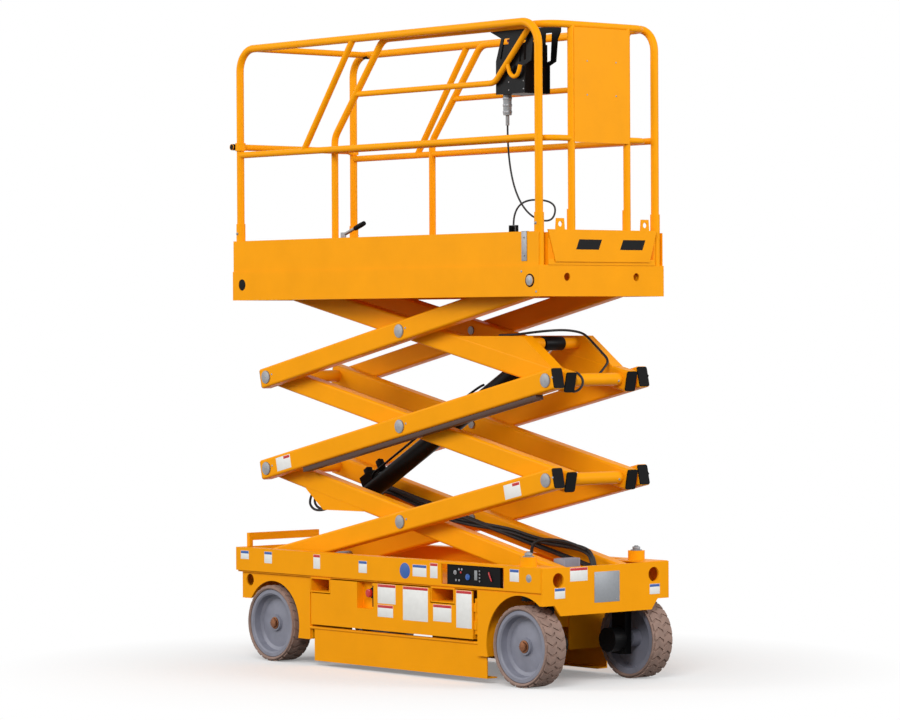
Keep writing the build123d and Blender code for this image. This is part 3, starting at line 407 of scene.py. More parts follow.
# Hexagon bolt: start, radius, length and edge of washer, head and tip in shares of its radius, and corners
bolt_layers = ((0.0, 1.35, 0.22, 0.05, 24), (0.2, 1.0, 0.75, 0.12, 6), (0.9, 0.5, 0.3, 0.08, 16))


def box(node):
    """Low and high corners of a solid"""
    return [[v / mm for v in corner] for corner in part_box(node)]


def deselect():
    """Nothing selected, in object mode"""
    if bpy.context.mode != "OBJECT":
        bpy.ops.object.mode_set(mode="OBJECT")
    bpy.ops.object.select_all(action="DESELECT")


def pick(*objects):
    """Only these objects selected, the first one active"""
    deselect()
    for obj in objects:
        obj.select_set(True)
    bpy.context.view_layer.objects.active = objects[0]


def freeze(obj):
    """Puts the object's place into its mesh"""
    pick(obj)
    bpy.ops.object.transform_apply(location=True, rotation=True, scale=True)
    return obj


def soften(obj, width):
    """Rounds the sharp edges of a piece"""
    pick(obj)
    bevel = obj.modifiers.new("Bevel", "BEVEL")
    bevel.width = width * mm
    bevel.segments = edge_steps
    bevel.limit_method = "ANGLE"
    bevel.angle_limit = sharp_angle
    bpy.ops.object.modifier_apply(modifier=bevel.name)
    return obj


def block(low, high, edge):
    """A box between two corners with softened edges"""
    deselect()
    middle = [(a + b) / 2 * mm for a, b in zip(low, high)]
    span = [abs(b - a) * mm for a, b in zip(low, high)]
    bpy.ops.mesh.primitive_cube_add(size=1, location=middle, scale=span)
    obj = freeze(bpy.context.object)
    return soften(obj, edge) if edge else obj


def drum(start, axis, radius, length, edge, corners):
    """A round or many sided bar that starts at a point and runs along an axis, with softened ends"""
    deselect()
    axis = Vector(axis).normalized()
    bpy.ops.mesh.primitive_cylinder_add(
        vertices=corners,
        radius=radius * mm,
        depth=length * mm,
        location=(Vector(start) + axis * length / 2) * mm,
        rotation=axis.to_track_quat("Z", "Y").to_euler(),
    )
    return soften(freeze(bpy.context.object), edge)


def round_line(name, points, radius, steps, ring):
    """A curve with a round section, smooth between its control points"""
    deselect()
    curve = bpy.data.curves.new(name, "CURVE")
    curve.dimensions = "3D"
    spline = curve.splines.new("NURBS")
    spline.points.add(len(points) - 1)
    for point, place in zip(spline.points, points):
        point.co = (*[v * mm for v in place], 1.0)
    spline.order_u = 3
    spline.use_endpoint_u = True
    spline.resolution_u = steps
    curve.bevel_depth = radius * mm
    curve.bevel_resolution = ring
    obj = bpy.data.objects.new(name, curve)
    bpy.context.collection.objects.link(obj)
    return obj


def tube(points, radius):
    """A round bar along a smooth line, as a mesh with closed ends"""
    obj = round_line("line", points, radius, tube_steps, tube_ring)
    obj.data.use_fill_caps = True
    pick(obj)
    bpy.ops.object.convert(target="MESH")
    return bpy.context.object


def join(objects):
    """Several objects made one"""
    pick(*objects)
    if len(objects) > 1:
        bpy.ops.object.join()
    return bpy.context.object


def copy_to(model, place, turn):
    """A copy of a model with its own mesh, turned and moved"""
    obj = model.copy()
    obj.data = model.data.copy()
    bpy.context.collection.objects.link(obj)
    obj.matrix_world = Matrix.Translation(Vector(place) * mm) @ turn
    return freeze(obj)


def done(obj, name, finish_name, body):
    """Names a finished piece, gives it its finish and lets it ride on its body"""
    obj.name = name
    obj.data.name = name
    obj.data.materials.clear()
    obj.data.materials.append(finishes[finish_name])
    pick(obj)
    bpy.ops.object.shade_smooth_by_angle(angle=sharp_angle)
    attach(obj, body)
    return obj


def scatter(model, spots, name, finish_name, body):
    """Copies of a model that stands along +Z, at places with axes, joined as one piece"""
    copies = []
    for place, axis in spots:
        turn = Vector(axis).to_track_quat("Z", "Y").to_matrix().to_4x4()
        copies.append(copy_to(model, place, turn))
    bpy.data.objects.remove(model)
    return done(join(copies), name, finish_name, body)


def hex_bolt(radius):
    """A hexagon head with a chamfered top on a washer, standing along +Z"""
    layers = []
    for start, wide, tall, edge, corners in bolt_layers:
        layers.append(drum((0, 0, radius * start), up, radius * wide, radius * tall, radius * edge, corners))
    return join(layers)


def rivet(radius):
    """A low domed head, standing along +Z"""
    deselect()
    bpy.ops.mesh.primitive_uv_sphere_add(segments=16, ring_count=8, radius=radius * mm, scale=(1, 1, 0.5))
    obj = freeze(bpy.context.object)
    bpy.ops.object.mode_set(mode="EDIT")
    bpy.ops.mesh.select_all(action="SELECT")
    bpy.ops.mesh.bisect(plane_co=foot, plane_no=up, use_fill=True, clear_inner=True)
    bpy.ops.object.mode_set(mode="OBJECT")
    return obj


def select_where(mesh, kind, test):
    """Only the active mesh's points or faces that pass a test selected, in edit mode"""
    bpy.ops.object.mode_set(mode="EDIT")
    bpy.ops.mesh.select_mode(type=kind)
    bpy.ops.mesh.select_all(action="DESELECT")
    bpy.ops.object.mode_set(mode="OBJECT")
    for item in mesh.vertices if kind == "VERT" else mesh.polygons:
        item.select = test(item)
    bpy.ops.object.mode_set(mode="EDIT")


# Stage. Light: strength of the dome, then each lamp's place and size in metres and its power in watts
dome_strength = 0.45
lamps = (
    ("key_lamp", (9.0, -10.0, 9.0), 7.0, 1300.0),
    ("side_lamp", (-7.0, -10.0, 6.0), 6.0, 660.0),
    ("front_lamp", (12.0, 6.0, 5.0), 6.0, 760.0),
)
lamp_aim = Vector((0.0, 0.0, 1.4))

# Floor, in metres: its size, the distances between which it turns to plain white, and how white it is near by
floor_size = 160.0
fade_start = 0.9
fade_end = 2.3
near_white = 0.22

# Camera: width of its sensor in millimetres, and how far it sees in metres
sensor_width = 36.0
view_depth = 400.0


class LIFT_OT_stage(bpy.types.Operator):
    """Set the floor, the light and the photograph's camera"""

    bl_idname = "lift.stage"
    bl_label = "Stage"

    def execute(self, context):
        scene = context.scene
        scene.view_settings.view_transform = "Standard"
        self.floor()
        self.dome(scene)
        self.lamps()
        self.camera(scene)
        return {"FINISHED"}

    def floor(self):
        """A matt floor that fades to white away from the lift, and lights the lift as a darker one would"""
        deselect()
        bpy.ops.mesh.primitive_grid_add(x_subdivisions=8, y_subdivisions=8, size=floor_size)
        floor = bpy.context.object
        floor.name = "studio_floor"
        material, tree, shader, place = new_material("studio_floor_matt")
        mottle(tree, shader, place, colours().floor, 0.995, 900.0, 0.3)
        shader.inputs["Roughness"].default_value = 0.9
        shader.inputs["Specular IOR Level"].default_value = 0.0
        bounce = add_node(tree, "ShaderNodeBsdfDiffuse", [("Color", linear(colours().bounce))])
        white = add_node(tree, "ShaderNodeEmission", [("Strength", 1.0)])
        apart = add_node(tree, "ShaderNodeVectorMath", (), [(0, place, "Object")], operation="LENGTH")
        span = [("From Min", fade_start), ("From Max", fade_end), ("To Min", near_white), ("To Max", 1.0)]
        fade = add_node(tree, "ShaderNodeMapRange", span, [("Value", apart, "Value")])
        layers = [(0, fade, "Result"), (1, shader, "BSDF"), (2, white, "Emission")]
        shown = add_node(tree, "ShaderNodeMixShader", (), layers)
        layers = [(0, self.seen(tree), "Value"), (1, bounce, "BSDF"), (2, shown, "Shader")]
        mix = add_node(tree, "ShaderNodeMixShader", (), layers)
        tree.links.new(mix.outputs["Shader"], tree.nodes["Material Output"].inputs["Surface"])
        floor.data.materials.append(material)

    def seen(self, tree):
        """One for rays that show a surface to the eye: straight, mirrored or through glass"""
        path = add_node(tree, "ShaderNodeLightPath")
        rays = [(0, path, "Is Camera Ray"), (1, path, "Is Glossy Ray")]
        glossy = add_node(tree, "ShaderNodeMath", (), rays, operation="MAXIMUM")
        rays = [(0, glossy, "Value"), (1, path, "Is Transmission Ray")]
        return add_node(tree, "ShaderNodeMath", (), rays, operation="MAXIMUM")

    def dome(self, scene):
        """A soft dome of light that shows as plain white"""
        scene.world = bpy.data.worlds.new("studio_dome")
        scene.world.use_nodes = True
        tree = scene.world.node_tree
        tree.nodes.clear()
        white = ("Color", (1, 1, 1, 1))
        light = add_node(tree, "ShaderNodeBackground", [white, ("Strength", dome_strength)])
        plain = add_node(tree, "ShaderNodeBackground", [white, ("Strength", 1.0)])
        layers = [(0, self.seen(tree), "Value"), (1, light, "Background"), (2, plain, "Background")]
        mix = add_node(tree, "ShaderNodeMixShader", (), layers)
        add_node(tree, "ShaderNodeOutputWorld", (), [("Surface", mix, "Shader")])

    def lamps(self):
        """Large round lamps that face the lift"""
        for name, place, size, power in lamps:
            lamp = bpy.data.lights.new(name, "AREA")
            lamp.shape = "DISK"
            lamp.size = size
            lamp.energy = power
            obj = bpy.data.objects.new(name, lamp)
            obj.location = place
            obj.rotation_euler = (lamp_aim - Vector(place)).to_track_quat("-Z", "Y").to_euler()
            bpy.context.collection.objects.link(obj)

    def camera(self, scene):
        """The photograph's camera"""
        view = scene.lift_view
        camera = bpy.data.cameras.new("photo_view")
        camera.sensor_width = sensor_width
        camera.sensor_fit = "HORIZONTAL"
        camera.lens = view.lens
        camera.shift_x = view.shift[0]
        camera.shift_y = view.shift[1]
        camera.clip_end = view_depth
        obj = bpy.data.objects.new("photo_view", camera)
        across = Vector((cos(view.azimuth), sin(view.azimuth), 0.0))
        back = Vector((across.y * cos(view.pitch), -across.x * cos(view.pitch), sin(view.pitch)))
        axes = Matrix((across, back.cross(across), back)).transposed().to_4x4()
        obj.matrix_world = Matrix.Translation(view.place) @ axes @ Matrix.Rotation(view.roll, 4, "Z")
        bpy.context.collection.objects.link(obj)
        scene.camera = obj


# Solids
class LIFT_OT_finishes(bpy.types.Operator):
    """Give every solid its finish"""

    bl_idname = "lift.finishes"
    bl_label = "Finishes"

    def execute(self, context):
        make_finishes()
        slots = {row["node"]: row["material_slot"] for row in frame["record"]["subparts"]}
        for node, obj in frame["nodes"].items():
            obj.data.materials.clear()
            obj.data.materials.append(finishes[node_finish.get(node, slot_finish[slots[node]])])
        return {"FINISHED"}


# Control cable: its route from plug to gland in millimetres, and its curve's steps
cable_route = (
    (770.95, -259.0, 2617.08),
    (770.95, -259.0, 2417.08),
    (892.95, -268.0, 2198.08),
    (1062.95, -240.0, 2146.08),
    (1074.95, -225.0, 2260.08),
    (884.95, -326.0, 2263.08),
    (884.95, -326.0, 2145.08),
)
cable_steps = 12
cable_ring = 5


class LIFT_OT_cable(bpy.types.Operator):
    """Hang the control cable between its plug and its gland"""

    bl_idname = "lift.cable"
    bl_label = "Control cable"

    def execute(self, context):
        radius = sizes().cable_diameter / 2 / mm
        obj = round_line("control_cord", cable_route, radius, cable_steps, cable_ring)
        obj.data.materials.append(finishes["hose"])
        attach(obj, "extension")
        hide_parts("control_cable")
        return {"FINISHED"}


# Tyres: rows of tread blocks, columns of faces to a block, and how many columns every other row's edge leans
tread_rows = 4
block_columns = 4
tread_lean = 1.5

# Tyre body, in millimetres, and its steps round the wheel
shoulder_drop = 4.0
shoulder_width = 8.0
bead_rise = 6.0
bead_width = 5.0
tread_overlap = 0.5
weld_gap = 0.05
tyre_steps = 96


class LIFT_OT_tyres(bpy.types.Operator):
    """Make the four tyres with a zigzag tread"""

    bl_idname = "lift.tyres"
    bl_label = "Tyres"

    def execute(self, context):
        model = self.tread_ring()
        for wheel, sign in wheels:
            low, high = box("tyre_" + wheel)
            middle = [(a + b) / 2 for a, b in zip(low, high)]
            turn = Matrix.Rotation(pi / 2 if sign < 0 else 3 * pi / 2, 4, "X")
            obj = done(copy_to(model, middle, turn), "tread_" + wheel, "tyre", "wheel_" + wheel)
            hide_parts("tyre_" + wheel)
        bpy.data.objects.remove(model)
        return {"FINISHED"}

    def tread_ring(self):
        """A tyre about Z: a ring cut into rows, every other edge turned, blocks pulled out, on a body"""
        low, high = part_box("tyre_rear_right")
        width = high[1] - low[1]
        depth = sizes().tread_depth
        root = (high[2] - low[2]) / 2 - depth
        columns = sizes().tread_blocks * block_columns
        pitch = 2 * pi / columns
        band = width - 2 * shoulder_width * mm
        run = band / tread_rows
        deselect()
        bpy.ops.mesh.primitive_cylinder_add(
            vertices=columns, radius=root, depth=band, end_fill_type="NOTHING"
        )
        obj = freeze(bpy.context.object)
        mesh = obj.data
        bpy.ops.object.mode_set(mode="EDIT")
        bpy.ops.mesh.select_all(action="SELECT")
        bpy.ops.mesh.subdivide(number_cuts=tread_rows - 1)
        bpy.ops.object.mode_set(mode="OBJECT")
        blocks = {face.index for face in mesh.polygons if self.is_block(face.center, pitch, band, run)}
        for ring in range(1, tread_rows + 1, 2):
            height = ring * run - band / 2
            select_where(mesh, "VERT", lambda point: abs(point.co.z - height) < run / 4)
            bpy.ops.transform.rotate(value=pitch * tread_lean, orient_axis="Z", center_override=foot)
        select_where(mesh, "FACE", lambda face: face.index in blocks)
        pull = {"value": depth, "use_even_offset": False}
        bpy.ops.mesh.extrude_region_shrink_fatten(TRANSFORM_OT_shrink_fatten=pull)
        bpy.ops.object.mode_set(mode="OBJECT")
        return join([obj, self.carcass(root, width)])

    def is_block(self, middle, pitch, band, run):
        """True for a face that stands out: the groove is one column, half a block on in the far rows"""
        angle = middle.to_2d().angle_signed(Vector((1, 0))) % (2 * pi)
        row = int((middle.z + band / 2) / run)
        groove = 0 if row < tread_rows / 2 else block_columns // 2
        return int(angle / pitch) % block_columns != groove

    def carcass(self, root, width):
        """The tyre's smooth body under the tread: shoulders, side walls and the seat on the rim"""
        low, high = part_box("wheel_rear_right")
        seat = (high[2] - low[2]) / 2
        half = width / 2
        side = [
            (seat, half - bead_width * mm),
            (seat + bead_rise * mm, half),
            (root - shoulder_drop * mm, half),
            (root + tread_overlap * mm, half - shoulder_width * mm),
        ]
        profile = [(r, 0, -z) for r, z in side] + [(r, 0, z) for r, z in reversed(side)]
        count = len(profile)
        mesh = bpy.data.meshes.new("carcass")
        mesh.from_pydata(profile, [(i, (i + 1) % count) for i in range(count)], [])
        obj = bpy.data.objects.new("carcass", mesh)
        bpy.context.collection.objects.link(obj)
        pick(obj)
        bpy.ops.object.mode_set(mode="EDIT")
        bpy.ops.mesh.select_all(action="SELECT")
        bpy.ops.mesh.spin(steps=tyre_steps, angle=2 * pi, center=foot, axis=up)
        bpy.ops.mesh.select_all(action="SELECT")
        bpy.ops.mesh.remove_doubles(threshold=weld_gap * mm)
        bpy.ops.mesh.normals_make_consistent(inside=False)
        bpy.ops.object.mode_set(mode="OBJECT")
        return obj


# From here on a drum is written as its radius, length and softened edge in millimetres, and its corners

# Wheel hubs, in millimetres: washer, nut and crown with their start past the hub's face, and the split pin
hub_face = 374.0
hub_drums = ((0, (30, 4, 1, 40)), (4, (24, 9, 1.2, 6)), (12, (19, 3, 0.8, 24)))
split_pin_start = 13.5
split_pin_length = 46.0
split_pin = (2, split_pin_length, 0.5, 10)


class LIFT_OT_hubs(bpy.types.Operator):
    """Fit the castle nuts and hub washers on the four wheels"""

    bl_idname = "lift.hubs"
    bl_label = "Wheel hubs"

    def execute(self, context):
        for wheel, sign in wheels:
            low, high = box("wheel_" + wheel)
            x = (low[0] + high[0]) / 2
            z = (low[2] + high[2]) / 2
            stack = []
            for start, size in hub_drums:
                stack.append(drum((x, sign * (hub_face + start), z), (0, sign, 0), *size))
            place = (x - split_pin_length / 2, sign * (hub_face + split_pin_start), z)
            stack.append(drum(place, ahead, *split_pin))
            done(join(stack), "castle_nut_" + wheel, "bronze", "wheel_" + wheel)
        return {"FINISHED"}


# Chassis trim, in millimetres
kingpin_bolt_share = 2.1
plate_low = (-78.0, 387.0)
plate_high = (82.0, 530.0)
plate_thickness = 1.2
plate_rivets = [(y, z) for y in (-62, 62) for z in (398, 520)]
plate_rivet_radius = 3.2
ladder_bolts = [(y, z) for y in (-152, 152) for z in (330, 530)]
plate_edge = 0.4
stop_plug_place = (1066.0, 404.5, 511.0)
stop_plug = (19, 0.8, 0.3, 32)
stop_plug_hexagon = (9, 0.9, 0.2, 6)
disc_decal_place = (178.0, -404.8, 505.0)
disc_decal = (38, 0.5, 0.1, 64)

# Finned block on the chassis deck, in millimetres: its core, then its fins
core_low = (976.0, -150.0, 446.0)
core_high = (1030.0, -50.0, 590.0)
core_edge = 2.0
fin_rear = 960.0
fin_low = 450.0
fin_high = 587.0
fin_count = 9
fin_half = 2.0
fin_edge = 0.8


class LIFT_OT_chassis_trim(bpy.types.Operator):
    """Fit the bolts, blank plate, plugs, disc and finned block of the chassis"""

    bl_idname = "lift.chassis_trim"
    bl_label = "Chassis trim"

    def execute(self, context):
        bolt = sizes().bolt_radius / mm
        kingpin = pivots["steer_left"]
        top = box("front_corner_decks")[1][2]
        spots = [((kingpin[0], sign * kingpin[1], top), up) for sign in signs]
        scatter(hex_bolt(bolt * kingpin_bolt_share), spots, "kingpin_bolts", "zinc", "chassis")
        nose = box("chassis_front_plate")[1][0]
        face = nose + plate_thickness
        plate = block((nose, *plate_low), (face, *plate_high), plate_edge)
        done(plate, "front_blank_plate", "grey_plate", "chassis")
        spots = [((face, y, z), ahead) for y, z in plate_rivets]
        scatter(rivet(plate_rivet_radius), spots, "front_plate_rivets", "zinc", "chassis")
        tail = box("chassis_rear_plate")[0][0]
        spots = [((tail, y, z), behind) for y, z in ladder_bolts]
        scatter(hex_bolt(bolt), spots, "ladder_bolts", "zinc", "chassis")
        plug = join([drum(foot, up, *stop_plug), drum(foot, up, *stop_plug_hexagon)])
        x, y, z = stop_plug_place
        spots = [((x, sign * y, z), (0, sign, 0)) for sign in signs]
        scatter(plug, spots, "axle_stop_plugs", "zinc", "chassis")
        done(drum(disc_decal_place, right, *disc_decal), "chassis_disc_decal", "blue", "chassis")
        self.fins()
        return {"FINISHED"}

    def fins(self):
        """Grey finned block on the chassis deck, between the arms"""
        plates = [block(core_low, core_high, core_edge)]
        for step in range(fin_count):
            y = core_low[1] + (core_high[1] - core_low[1]) * step / (fin_count - 1)
            low = (fin_rear, y - fin_half, fin_low)
            high = (core_high[0], y + fin_half, fin_high)
            plates.append(block(low, high, fin_edge))
        done(join(plates), "deck_finned_block", "wheel", "chassis")


# Stop button in the right tray's recess, in millimetres
stop_place = (-111.0, -365.0, 381.0)
stop_stem = (14, 18, 1, 32)
stop_collar = (26, 5, 1.2, 32)
stop_cap = (21, 17, 5, 40)
stop_cap_out = 16.0
recess_trim = ((-68.0, -405.2, 318.0), (-60.0, -404.4, 420.0))
recess_trim_edge = 0.2

# Ground controls, in millimetres: places as x from the panel's rear edge, z from its middle and, where there
# is a third number, the distance in front of it
knob_place = (150, -8)
knob = (15, 5, 1.2, 36)
knob_grip = ((146, -22, 7), (154, 6, 4))
knob_grip_edge = 1.2
key_place = (60, 10)
key_lock = (11, 4, 1, 32)
key_blade = ((59, 2, 7), (61, 18, 3))
key_blade_edge = 0.4
toggle_places = [(236, z) for z in (24, 8, -8, -24)]
toggle = (4, 5, 0.8, 20)
button_places = ((88, 26), (108, 26), (88, -26), (66, -26))
button = (5.5, 3.5, 0.8, 24)
pull_line = ((300, 22, 2), (306, 4, 4), (322, -20, 4))
pull_radius = 3.5
lamp_place = (100, 12)
red_lamp = (5, 4, 1, 24)
screen = ((196, -20, 1.4), (216, 26, 0))
screen_edge = 0.5


class LIFT_OT_ground_controls(bpy.types.Operator):
    """Fit the stop button and the knobs, keys and lamps of the ground controls"""

    bl_idname = "lift.ground_controls"
    bl_label = "Ground controls"

    def execute(self, context):
        self.stop()
        low, high = box("ground_controls")
        middle = (low[2] + high[2]) / 2

        def at(x, z, out=0.0):
            """A place on the panel, or in front of it"""
            return (low[0] + x, low[1] - out, middle + z)

        def plate(corners, edge):
            """A block between two places on the panel"""
            return block(*[at(*corner) for corner in corners], edge)

        selector = join([drum(at(*knob_place), right, *knob), plate(knob_grip, knob_grip_edge)])
        done(selector, "ground_selector_knob", "blue", "chassis")
        switches = [drum(at(*key_place), right, *key_lock), plate(key_blade, key_blade_edge)]
        switches += [drum(at(*place), right, *toggle) for place in toggle_places]
        switches += [drum(at(*place), right, *button) for place in button_places]
        done(join(switches), "ground_switches", "zinc", "chassis")
        pull = tube([at(*point) for point in pull_line], pull_radius)
        lamp = drum(at(*lamp_place), right, *red_lamp)
        done(join([pull, lamp]), "emergency_lowering_pull", "red", "chassis")
        done(plate(screen, screen_edge), "ground_screen", "grey", "chassis")
        return {"FINISHED"}

    def stop(self):
        """Stop button in the right tray's recess, and the trim of the recess's edge"""
        x, back, z = stop_place
        base = join([drum(stop_place, right, *stop_stem), drum(stop_place, right, *stop_collar)])
        done(base, "stop_button_base", "black_plastic", "tray_right")
        cap = drum((x, back - stop_cap_out, z), right, *stop_cap)
        done(cap, "stop_button_cap", "red", "tray_right")
        done(block(*recess_trim, recess_trim_edge), "recess_edge_trim", "black_plastic", "tray_right")


# Blank decals, in millimetres: name, body, the bands' finish, sheets on the right face as low and high x and
# z, then sheets on the nose as low and high y and z
decal_side = -405.0
decal_nose = 1158.75
decal_rows = (
    (
        "chassis",
        "chassis",
        "blue",
        (
            (-1114, -1048, 504, 546),
            (-920, -858, 491, 549),
            (-172, -109, 479, 537),
            (236, 338, 482, 538),
            (935, 998, 492, 549),
        ),
        ((-328, -263, 417, 466), (278, 344, 408, 456)),
    ),
    (
        "chassis_red",
        "chassis",
        "red",
        ((-525, -472, 482, 552), (365, 419, 480, 551)),
        ((-231, -121, 493, 556),),
    ),
    (
        "tray",
        "tray_right",
        "red",
        (
            (-27, 107, 338, 431),
            (-28, 88, 273, 331),
            (163, 347, 268, 430),
            (386, 518, 276, 356),
            (554, 664, 255, 431),
        ),
        (),
    ),
)
band_margin = 1.0
band_height = 14.0
band_rise = 1.25
decal_edge = 0.3


class LIFT_OT_decals(bpy.types.Operator):
    """Lay the blank decals on the chassis and the right tray"""

    bl_idname = "lift.decals"
    bl_label = "Blank decals"

    def execute(self, context):
        for name, body, band_finish, on_side, on_nose in decal_rows:
            sheets = []
            bands = []
            for lay, rows in ((self.lay_side, on_side), (self.lay_nose, on_nose)):
                for start, end, low, high in rows:
                    sheets.append(lay(start, end, low, high, 1.0))
                    inner = (start + band_margin, end - band_margin)
                    bands.append(lay(*inner, high - band_height, high - band_margin, band_rise))
            done(join(sheets), name + "_decals", "white", body)
            done(join(bands), name + "_decal_bands", band_finish, body)
        return {"FINISHED"}

    def lay_side(self, start, end, low, high, layers):
        """A thin sheet on the right face"""
        thick = sizes().decal_thickness / mm * layers
        return block((start, decal_side, low), (end, decal_side - thick, high), thick * decal_edge)

    def lay_nose(self, start, end, low, high, layers):
        """A thin sheet on the nose"""
        thick = sizes().decal_thickness / mm * layers
        return block((decal_nose, start, low), (decal_nose + thick, end, high), thick * decal_edge)


# Arm trim, in millimetres: faces of the pins, keeper screws from their pin, bolts on the front cross tubes
pin_face = (30, 1, 0.4, 48)
pin_dimple = (5, 1.6, 0.5, 6)
keeper_step = (46.0, 14.0)
keeper_radius = 5.5
tube_bolt_step = (28.0, -8.0)
tube_bolt_lean = (1, 0, -0.27)
tube_bolts = (-150, 134)
tube_bolt_radius = 6.0

# Hoses on the arms, in millimetres: a bundle to the chassis, a line over the upper bracket, and loops
lower_line = (
    (-653, 130, 828),
    (-610, 132, 852),
    (-430, 134, 805),
    (-169, 136, 730),
    (0, 134, 703),
    (205, 138, 688),
    (368, 138, 672),
    (475, 136, 650),
    (607, 134, 630),
    (790, 130, 620),
    (900, 122, 606),
    (955, 116, 575),
    (962, 110, 524),
)
deck_line = (
    (674, -40, 526),
    (676, -40, 610),
    (700, -32, 655),
    (760, 10, 662),
    (840, 70, 648),
    (905, 104, 614),
)
lower_hoses = [[(x, y - dy, z + dz) for x, y, z in lower_line] for dy, dz in ((0, 0), (19, 1), (10, 15))]
lower_hoses.append(deck_line)
bracket_line = (
    (600, -165, 1632),
    (700, -160, 1634),
    (760, -120, 1643),
    (790, -40, 1652),
    (800, 60, 1656),
    (812, 130, 1650),
    (840, 165, 1636),
    (900, 165, 1592),
    (960, 165, 1548),
    (1010, 160, 1512),
    (1040, 110, 1482),
    (1066, 45, 1448),
)
front_loop = (
    (1064, -150, 1444),
    (1102, -146, 1466),
    (1134, -128, 1440),
    (1136, -120, 1404),
    (1112, -132, 1372),
    (1066, -148, 1366),
    (1062, -152, 1410),
)
loop_line = (
    (-683, -118, 800),
    (-740, -120, 768),
    (-800, -122, 750),
    (-868, -122, 748),
    (-905, -124, 775),
    (-893, -128, 812),
    (-850, -140, 848),
    (-800, -152, 880),
)
loop_hoses = [[(x + dx, y + dy, z + dx * 0.4) for x, y, z in loop_line] for dx, dy in ((0, 0), (16, 18))]

# Bundles of hoses: body, name, lines, and their share of the usual radius
hose_rows = (
    ("inner_arm_1", "lower_hose_bundle", lower_hoses, 0.9),
    ("inner_arm_3", "upper_bracket_hose", (bracket_line, front_loop), 0.65),
    ("inner_arm_1", "cylinder_hose_loops", loop_hoses, 0.7),
)

# Cylinder, in millimetres: its rod's eye and lean, solenoids as place along it, foot, top and radius, and its
# pipe as places along it and above it
rod_eye = (788.0, 1592.5)
cylinder_lean = radians(28.804)
solenoids = ((134, 46, 112, 23), (236, 46, 106, 21))
solenoid_edge = 3.0
solenoid_nut = (9, 8, 1.5, 6)
pipe_line = ((176, 40), (196, 56), (240, 56), (700, 56), (1120, 56), (1150, 44))
pipe_side = -30.0
pipe_radius = 6.0
sleeve_start = -61.0
sleeve = (33.5, 122, 2, 48)

# Dark strip of painted shade under the right second outer arm, in the arm's own line: its corners in millimetres
shade_strip_low = (-800.0, -296.0, -72.0)
shade_strip_high = (985.0, -250.0, -50.0)
shade_strip_edge = 2.0


class LIFT_OT_arm_trim(bpy.types.Operator):
    """Fit the pin faces, screws and hoses of the arms, the dark strip of painted shade under one arm, and the
    valves of the cylinder
    """

    bl_idname = "lift.arm_trim"
    bl_label = "Arm trim"

    def execute(self, context):
        for stage in (1, 2, 3):
            body = "outer_arm_" + str(stage)
            faces = []
            keepers = []
            for x, z in pin_places(stage):
                for sign in signs:
                    out = (0, sign, 0)
                    faces.append(((x, sign * pin_head, z), out))
                    keepers.append(((x + keeper_step[0], sign * arm_face, z + keeper_step[1]), out))
            disc = join([drum(foot, up, *pin_face), drum(foot, up, *pin_dimple)])
            scatter(disc, faces, body + "_pin_faces", "zinc", body)
            scatter(rivet(keeper_radius), keepers, body + "_keeper_screws", "zinc", body)
        for stage in (2, 3):
            body = "inner_arm_" + str(stage)
            x = pin_front + tube_bolt_step[0]
            z = lowest_pins + (stage - 1) * stage_rise + tube_bolt_step[1]
            spots = [((x, y, z), tube_bolt_lean) for y in tube_bolts]
            scatter(rivet(tube_bolt_radius), spots, body + "_tube_bolts", "zinc", body)
        for body, name, lines, share in hose_rows:
            radius = sizes().hose_radius / mm * share
            done(join([tube(line, radius) for line in lines]), name, "hose", body)
        self.valves()
        # The tray step lays the dark strip of painted shade under the second outer arm
        self.tray()
        return {"FINISHED"}

    def valves(self):
        """Solenoids and the pipe on the cylinder's barrel, and the sleeve of its rod's eye"""
        run = Vector((cos(cylinder_lean), 0.0, sin(cylinder_lean)))
        rise = Vector((-run.z, 0.0, run.x))
        start = Vector(pivots["barrel_swing"])
        coils = []
        for along, low, high, radius in solenoids:
            at = start + run * along
            coils.append(drum(at + rise * low, rise, radius, high - low, solenoid_edge, 36))
            coils.append(drum(at + rise * high, rise, *solenoid_nut))
        done(join(coils), "cylinder_solenoids", "black_plastic", "lift_barrel")
        aside = Vector((0.0, pipe_side, 0.0))
        line = [start + run * along + rise * above + aside for along, above in pipe_line]
        done(tube(line, pipe_radius), "cylinder_pipe", "black_enamel", "lift_barrel")
        round_eye = drum((rod_eye[0], sleeve_start, rod_eye[1]), (0, 1, 0), *sleeve)
        done(round_eye, "rod_eye_sleeve", "black_enamel", "lift_rod")

    def tray(self):
        """Dark brown strip under the right second outer arm, in line with the arm: painted shade, coloured as the
        orange paint in shade below the arm
        """
        model = block(shade_strip_low, shade_strip_high, shade_strip_edge)
        crossing = (stack_middle, 0.0, lowest_pins + 1.5 * stage_rise)
        turned = copy_to(model, crossing, Matrix.Rotation(-arm_lean, 4, "Y"))
        done(turned, "painted_shade_strip", "brown", "outer_arm_2")
        bpy.data.objects.remove(model)


# Arm decals, in millimetres: body and place, half sizes of the sheet, low and high corners of the band
arm_decals = (("outer_arm_1", 845.0, 907.0), ("outer_arm_2", -886.0, 993.0))
arm_sheet = (58.0, 34.0)
arm_band_low = (4.0, 18.0)
arm_band_high = (54.0, 32.0)


